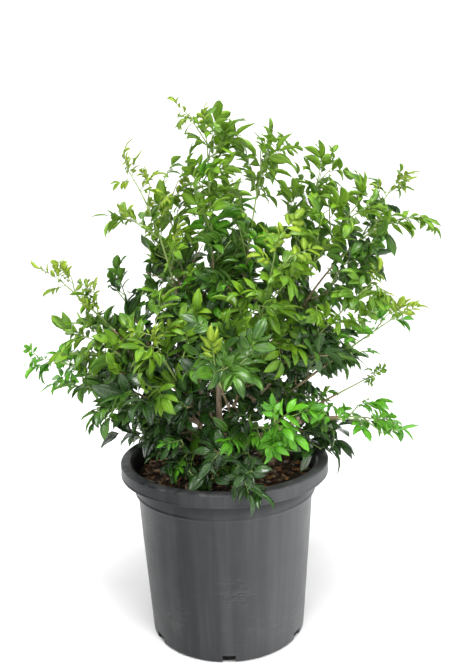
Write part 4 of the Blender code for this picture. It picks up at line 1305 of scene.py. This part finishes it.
    def fill(self, step, leaf_share):
        """Leaves between those of the twigs, and along the mass's stem."""
        self.windows = WINDOWS + FINE_WINDOWS
        self.fork_window = SMALL_FORK_WINDOW
        self.opening = FINE_OPENING
        for root, tip, radius, along in list(self.twigs):
            self.along = along
            self.line(root, tip - root, step, step * 0.6, leaf_share)
        share = self.start
        turn = self.dice.uniform(0.0, math.tau)
        while share < self.end:
            self.along = (share - self.start) / (self.end - self.start)
            turn += GOLDEN_ANGLE
            out = spun(self.path.heading(share), turn, TWIG_ANGLE)
            size = self.leaf * leaf_share * self.dice.uniform(*FINE_LEAF_SPREAD)
            self.add_leaf(self.path.at(share), out, size, None, 0.3, True)
            share += step * blend(1.0, TIP_CROWDING, self.along) / self.path.length

    def line(self, root, span, step, place, leaf_share):
        """Leaves in a spiral along one twig."""
        turn = self.dice.uniform(0.0, math.tau)
        heading = span.normalized()
        while place < span.length:
            turn += GOLDEN_ANGLE
            out = spun(heading, turn, LEAF_ANGLE)
            size = self.leaf * leaf_share * self.dice.uniform(*FINE_LEAF_SPREAD)
            self.add_leaf(root + heading * place, out, size, None, place / span.length, True)
            place += step

    def clothe(self, low, high, step):
        """Short leafy twigs along the bare bough, inside the crown."""
        self.roams = True
        share = low
        turn = self.dice.uniform(0.0, math.tau)
        while share < high:
            self.along = max(0.0, (share - self.stem_start) / (1.0 - self.stem_start))
            turn += GOLDEN_ANGLE
            root = self.path.at(share)
            span = spun(self.path.heading(share), turn, TWIG_ANGLE) * self.dice.uniform(*SHORT_TWIG_LENGTH)
            spots = [root + span * (i / 12) for i in range(3, 13)]
            if self.fits(spots, LIMB_MARGIN):
                before = len(self.leaves)
                self.line(root, span, SHORT_TWIG_LEAF_STEP, SHORT_TWIG_BARE_ROOT, SHORT_TWIG_LEAF_SIZE)
                tip_leaf = self.leaf * SHORT_TWIG_TIP_LEAF_SIZE
                self.add_leaf(root + span, span.normalized(), tip_leaf, None, 0.5, True)
                if len(self.leaves) > before:
                    self.twigs.append((root, root + span, FINE_TWIG_RADIUS, self.along))
            share += step / self.path.length
        self.roams = False

    def stray(self, share, tip):
        """One more twig, from a share of the path, with a leaf that ends at a place."""
        self.roams = True
        self.along = max(0.0, (share - self.stem_start) / (1.0 - self.stem_start))
        root = self.path.at(share)
        span = tip - root
        size = min(self.leaf * 1.1, span.length * 0.85)
        foot = tip - span.normalized() * size
        if self.add_leaf(foot, span.normalized(), size, None, 0.5, True):
            self.twigs.append((root, foot, FINE_TWIG_RADIUS, self.along))
        self.roams = False


# Rows and columns of a leaflet's blade: how far along each row is and how wide the blade is there, as
# shares of its length and of its half width, and how far across each column is
Blade = namedtuple("Blade", "rows widths columns")
OLD_BLADE = Blade((0.0, 0.10, 0.27, 0.47, 0.68, 0.86, 1.0), (0.05, 0.42, 0.90, 1.0, 0.80, 0.37, 0.0),
                  (-1.0, -0.5, 0.0, 0.5, 1.0))
YOUNG_BLADE = Blade((0.0, 0.22, 0.50, 0.80, 1.0), (0.06, 0.72, 1.0, 0.62, 0.0), (-1.0, 0.0, 1.0))
BLADE_THICKNESS = 0.00040
LOST_LEAFLETS = 0.10
RACHIS_RADIUS = 0.00055
RACHIS_STEPS = 4
RACHIS_SAG = (0.05, 0.45)
# The side leaflets stand from the first to the second of these shares of the rachis
LEAFLET_SHARES = (0.22, 0.94)
LEAFLET_ANGLE = (0.60, 1.25)
LEAFLET_LENGTH = (0.82, 1.12)
LEAFLET_WIDTH = (0.88, 1.12)
LEAFLET_FOLD = (0.08, 0.66)
LEAFLET_ARCH = (0.25, 1.25)
LEAFLET_WAVE = (0.0, 0.06)
LEAFLET_TWIST = 0.30
# How far the leaflets of a leaf turn from the leaf's own upper side to the sky
UPRIGHTNESS = (0.0, 0.75)
SHOOT_TIP_RADIUS = 0.0008
# A tone's leaves are shared out over pieces of about this many faces
PIECE_FACES = 90000
STEM_GREEN = (0.31, 0.42, 0.12, 1.0)
STEM_GREEN_STREAK = (0.17, 0.27, 0.055, 1.0)
STEM_BROWN = (0.36, 0.28, 0.155, 1.0)
STEM_BROWN_STREAK = (0.16, 0.115, 0.065, 1.0)
STEM_POINT_STEP = 0.006
STEM_RELIEF = 0.00012
STEM_SIDES = 8
TWIG_SIDES = 6
TWIG_POINT_STEP = 0.014
TWIG_WOBBLE = 0.0008
# The stem of a mass is brown up to the first share of it, and a twig where it grows below the second
BROWN_STEM_SHARE = 0.45
BROWN_TWIG_SHARE = 0.4
# A leaf's ripeness is the place of its twig on the stem and its own on the twig, weighed, with a spread
STEM_WEIGHT = 0.75
TWIG_WEIGHT = 0.25
RIPENESS_SPREAD = 0.05
# This share of the old leaves is a tone off
ODD_TONE_SHARE = 0.22
DRESS_SEED = 1000


class LeafletKind:
    """The faces of a leaflet as a closed thin shell, and where its corners lie on the blade."""

    def __init__(self, blade):
        rows, columns = blade.rows, blade.columns
        self.along = []
        self.across = []
        self.widths = []
        self.under = []
        top = {}
        bottom = {}
        for r in range(len(rows) - 1):
            for c, column in enumerate(columns):
                top[r, c] = self.corner(rows[r], column, blade.widths[r], 0.0)
        tip = self.corner(1.0, 0.0, 0.0, 0.0)
        for r in range(len(rows) - 1):
            for c, column in enumerate(columns):
                edge = c in (0, len(columns) - 1) or r == 0
                if edge:
                    bottom[r, c] = top[r, c]
                else:
                    bottom[r, c] = self.corner(rows[r], column, blade.widths[r], 1.0 - column * column)
        self.faces = []
        self.sides = []
        last = len(rows) - 2
        for side, grid in enumerate((top, bottom)):
            for c in range(len(columns) - 1):
                for r in range(last):
                    face = (grid[r, c], grid[r, c + 1], grid[r + 1, c + 1], grid[r + 1, c])
                    self.faces.append(tuple(reversed(face)) if side else face)
                    self.sides.append(side)
                face = (grid[last, c], grid[last, c + 1], tip)
                self.faces.append(tuple(reversed(face)) if side else face)
                self.sides.append(side)
        self.along = np.array(self.along)
        self.across = np.array(self.across)
        self.widths = np.array(self.widths)
        self.under = np.array(self.under)
        spots = [(0.5 + 0.5 * across, along) for across, along in zip(self.across, self.along)]
        self.places = [spots[corner] for face in self.faces for corner in face]

    def corner(self, along, across, width, under):
        self.along.append(along)
        self.across.append(across)
        self.widths.append(width)
        self.under.append(under)
        return len(self.along) - 1

    def points(self, frame, length, width, fold, arch, wave, twist):
        """Corners of one leaflet, folded along its midrib, arched and twisted, and waved at its edge."""
        turn = arch * self.along
        reach = length * np.sin(turn) / arch
        drop = -length * (1.0 - np.cos(turn)) / arch
        out = self.across * self.widths * width / 2
        lift = np.abs(out) * math.sin(fold)
        ripple = np.sin(self.along * 9.0 + self.across * 1.3)
        lift += wave * width * ripple * np.abs(self.across) * self.widths
        lift -= self.under * BLADE_THICKNESS
        spin = twist * self.along
        flat = out * math.cos(fold)
        sideways = flat * np.cos(spin) - lift * np.sin(spin)
        raised = flat * np.sin(spin) + lift * np.cos(spin)
        upper = drop + raised * np.cos(turn)
        onward = reach + raised * np.sin(turn)
        local = np.stack([sideways, upper, onward, np.ones_like(sideways)], axis=1)
        return (local @ np.array(frame).T)[:, :3]


def leaf_top(tone):
    """The upper side of a leaflet: glossy, with a pale midrib and faint side veins."""
    look = Look("leaf_" + tone.name, coat_weight=tone.coat, coat_roughness=0.16,
                specular_ior_level=0.27 + tone.coat)
    place = look.place()
    across, along = look.axes(look.node("ShaderNodeUVMap", {"uv_map": "blade"}, {}))[:2]
    from_rib = abs(across - 0.5)
    rib = from_rib.ramp(0.055, 0.012)
    slanting = along * 13.0 - from_rib * 9.0
    wavy = slanting.math("FRACT", slanting)
    vein = abs(wavy - 0.5).ramp(0.42, 0.5) * 0.35
    leaf_to_leaf = look.noise(place, 34.0, 1.0)
    blotch = look.noise(place, 190.0, 3.0, 0.6)
    shade = (leaf_to_leaf * 1.1 + blotch * 0.35 - 0.22).ramp(0.28, 0.72)
    colour = look.mix(shade, (*tone.deep, 1.0), (*tone.colour, 1.0))
    colour = look.mix(rib * 0.50 + vein * 0.22, colour, (*tone.pale, 1.0))
    look.set("Base Color", colour)
    look.set("Roughness", blotch * 0.16 + (tone.gloss - 0.10))
    look.bump(vein * -0.5 - rib + blotch * 0.5 + look.noise(place, 75.0, 2.0) * 1.2, 0.0006, 0.7)
    return look.material


def leaf_under(tone):
    """The underside of a leaflet: paler and duller, with a raised midrib."""
    look = Look("leaf_" + tone.name + "_underside")
    place = look.place()
    across = look.axes(look.node("ShaderNodeUVMap", {"uv_map": "blade"}, {}))[0]
    rib = abs(across - 0.5).ramp(0.07, 0.015)
    blotch = look.noise(place, 160.0, 3.0, 0.6)
    pale = tuple(blend(a, b, 0.28) for a, b in zip(tone.colour, tone.pale)) + (1.0,)
    colour = look.mix(blotch.ramp(0.2, 0.8), (*tone.colour, 1.0), pale)
    look.set("Base Color", look.mix(rib * 0.7, colour, (*tone.pale, 1.0)))
    look.set("Roughness", blotch * 0.2 + 0.5)
    look.bump(rib + blotch * 0.2, 0.0004, 0.6)
    return look.material


def stem_skin(name, colour, streaked):
    """The skin of a young stem or twig, faintly streaked."""
    look = Look(name)
    place = look.place()
    streak = look.noise(look.stretched(place, 1.0, 1.0, 0.2), 640.0, 4.0, 0.6)
    patch = look.noise(place, 60.0, 2.0)
    look.set("Base Color", look.mix((streak * 0.6 + patch * 0.5).ramp(0.35, 0.75), streaked, colour))
    look.set("Roughness", streak * 0.25 + 0.42)
    look.bump(streak, 0.0004, 0.6)
    return look.material


# How a leaf of each age is made: the least and most side leaflets, the length of its rachis and of its
# leaflets as shares of the leaf, and the width of a leaflet as a share of its length
Age = namedtuple("Age", "least most rachis leaflet width")
AGES = (
    Age(2, 5, 0.40, 0.70, 0.50),
    Age(4, 6, 0.48, 0.57, 0.46),
    Age(6, 9, 0.62, 0.42, 0.44),
)


class Dresser:
    """Turns grown twigs and leaf places into meshes."""

    def __init__(self):
        self.leaves = {number: [Batch()] for number in range(len(TONES))}
        self.stems = Batch()
        self.old = LeafletKind(OLD_BLADE)
        self.young = LeafletKind(YOUNG_BLADE)

    def leaf(self, frame, size, tone, age, dice):
        """One feathered leaf that fills the place of a blade."""
        count = dice.randint(age.least, age.most)
        rachis = size * age.rachis
        sag = dice.uniform(*RACHIS_SAG)
        uprightness = dice.uniform(*UPRIGHTNESS)
        root = frame.translation
        across, upper, along = [frame.col[i].to_3d() for i in range(3)]
        points = []
        for i in range(RACHIS_STEPS + 1):
            way = rachis * i / RACHIS_STEPS
            dip = sag * i / (RACHIS_STEPS * 2)
            points.append(root + along * way * math.cos(dip) - upper * way * math.sin(dip))
        radii = [RACHIS_RADIUS * (1.3 - 0.15 * i) for i in range(RACHIS_STEPS + 1)]
        add_tube(self.stems, points, radii, 3, lambda row: 1)
        hand = dice.choice((-1.0, 1.0))
        base = size * age.leaflet
        for i in range(count + 1):
            ending = i == count
            share = 1.0 if ending else blend(*LEAFLET_SHARES, i / max(1, count - 1))
            spot = share * RACHIS_STEPS
            first = min(RACHIS_STEPS - 1, int(spot))
            stand = points[first].lerp(points[first + 1], spot - first)
            tangent = (points[first + 1] - points[first]).normalized()
            if ending:
                heading = tangent
                length = base * dice.uniform(1.0, 1.2)
            else:
                if dice.random() < LOST_LEAFLETS:
                    continue
                angle = dice.uniform(*LEAFLET_ANGLE) * blend(1.1, 0.85, share)
                heading = tangent * math.cos(angle) + across * hand * math.sin(angle)
                length = base * blend(0.74, 1.0, share) * dice.uniform(*LEAFLET_LENGTH)
                hand = -hand
            normal = upper.lerp(Vector((0.0, 0.0, 1.0)), uprightness)
            normal += across * dice.gauss(0.0, 0.36) + along * dice.gauss(0.0, 0.32)
            place = leaf_frame(stand, heading + upper * dice.gauss(0.0, 0.20), normal)
            kind = self.young if age is AGES[2] else self.old
            width = length * age.width * dice.uniform(*LEAFLET_WIDTH)
            fold = dice.uniform(*LEAFLET_FOLD)
            arch = dice.uniform(*LEAFLET_ARCH)
            wave = dice.uniform(*LEAFLET_WAVE)
            corners = kind.points(place, length, width, fold, arch, wave, dice.gauss(0.0, LEAFLET_TWIST))
            if len(self.leaves[tone][-1].faces) > PIECE_FACES:
                self.leaves[tone].append(Batch())
            self.leaves[tone][-1].add(corners, kind.faces, kind.sides, kind.places)

    def twig(self, root, tip, radius, dice, slot):
        """One twig, a little crooked at each leaf."""
        span = tip - root
        side = span.orthogonal().normalized()
        other = span.cross(side).normalized()
        count = max(3, round(span.length / TWIG_POINT_STEP))
        points = []
        for i in range(count + 1):
            wobble = 0.0 if i in (0, count) else TWIG_WOBBLE
            shift = side * dice.uniform(-wobble, wobble) + other * dice.uniform(-wobble, wobble)
            points.append(root.lerp(tip, i / count) + shift)
        radii = [blend(radius, TWIG_TIP_RADIUS * 0.8, i / count) for i in range(count + 1)]
        add_tube(self.stems, points, radii, TWIG_SIDES, lambda row: slot)


# The solid trunk's own rings, which the leaves keep clear of
trunk_path, trunk_points, trunk_radii = trunk_rings((0.14, 0.28, 0.45, 0.65, 0.85, 1.0))
foot_points = [TRUNK_FOOT.copy(), TRUNK_FOOT + Vector((0.0, 0.0, 0.003))]
limbs = [(foot_points + trunk_points, [FLARE_RADIUS, FLARE_RADIUS * 0.86] + trunk_radii)]
masses = {}
starts = {}
for shoot in SHOOTS:
    path = paths[shoot.name]
    masses[shoot.name] = path.points(path.shares(shoot.bough, 1.0, AXIS_STEP))
    starts[shoot.name] = shoot.bough
    if shoot.bough:
        starts[shoot.name] += CLEARANCE / path.length
        limbs.append(bough_rings(shoot, path, AXIS_STEP))
spaces = Spaces(masses, {shoot.name: shoot.spray for shoot in SHOOTS}, limbs)

dresser = Dresser()
for number, shoot in enumerate(SHOOTS):
    start = starts[shoot.name]
    stem_radius = root_radius(shoot) * BOUGH_TIP_SHARE
    path = paths[shoot.name]
    growth = Growth(shoot.name, shoot.leaf, path, start, stem_radius, spaces, shoot.seed)
    growth.grow()
    growth.fill(FILL_STEP, FILL_LEAF_SIZE)
    growth.clothe(max(shoot.bough * CLOTHED_FROM, BARE_ROOT_SHARE), CLOTHED_SHARE, SHORT_TWIG_STEP)
    for stray in STRAYS:
        if stray.shoot == shoot.name:
            growth.stray(stray.share, Vector(stray.tip))
    dice = random.Random(DRESS_SEED + number)
    season = SEASONS[shoot.name]
    shares = path.shares(start, growth.end, STEM_POINT_STEP)
    ways = [(share - start) / (growth.end - start) for share in shares]
    radii = [blend(stem_radius, SHOOT_TIP_RADIUS, way) for way in ways]
    brown = len(shares) * BROWN_STEM_SHARE
    add_tube(dresser.stems, path.points(shares), radii, STEM_SIDES, lambda row: 0 if row < brown else 1,
             STEM_RELIEF, number * 3.1)
    for root, tip, radius, along in growth.twigs:
        dresser.twig(root, tip, radius, dice, 0 if along < BROWN_TWIG_SHARE else 1)
    for frame_of_leaf, size, along, place in growth.leaves:
        ripeness = along * STEM_WEIGHT + place * TWIG_WEIGHT + dice.gauss(0.0, RIPENESS_SPREAD)
        stage = (ripeness > season.turn) + (ripeness > season.tips)
        tone = TONE_NUMBERS[season[stage]]
        if stage == 0 and ripeness < SHADED_SHARE:
            tone = max(0, tone - 1)
        elif stage == 0 and dice.random() < ODD_TONE_SHARE:
            tone = max(0, tone + dice.choice((-1, 1)))
        dresser.leaf(frame_of_leaf, size, tone, AGES[stage], dice)

foliage_nodes = ["foliage_" + shoot.name for shoot in SHOOTS]
stem_looks = [stem_skin("twig_brown", STEM_BROWN, STEM_BROWN_STREAK),
              stem_skin("twig_green", STEM_GREEN, STEM_GREEN_STREAK)]
stems = dresser.stems.piece("twigs", stem_looks)
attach(stems, "root")
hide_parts(*foliage_nodes)
for number, tone in enumerate(TONES):
    tone_looks = [leaf_top(tone), leaf_under(tone)]
    for part, batch in enumerate(dresser.leaves[number]):
        if not batch.size:
            continue
        leaves = batch.piece(f"leaves_{tone.name}_{part + 1}", tone_looks)
        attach(leaves, "root")
        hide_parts(*foliage_nodes)
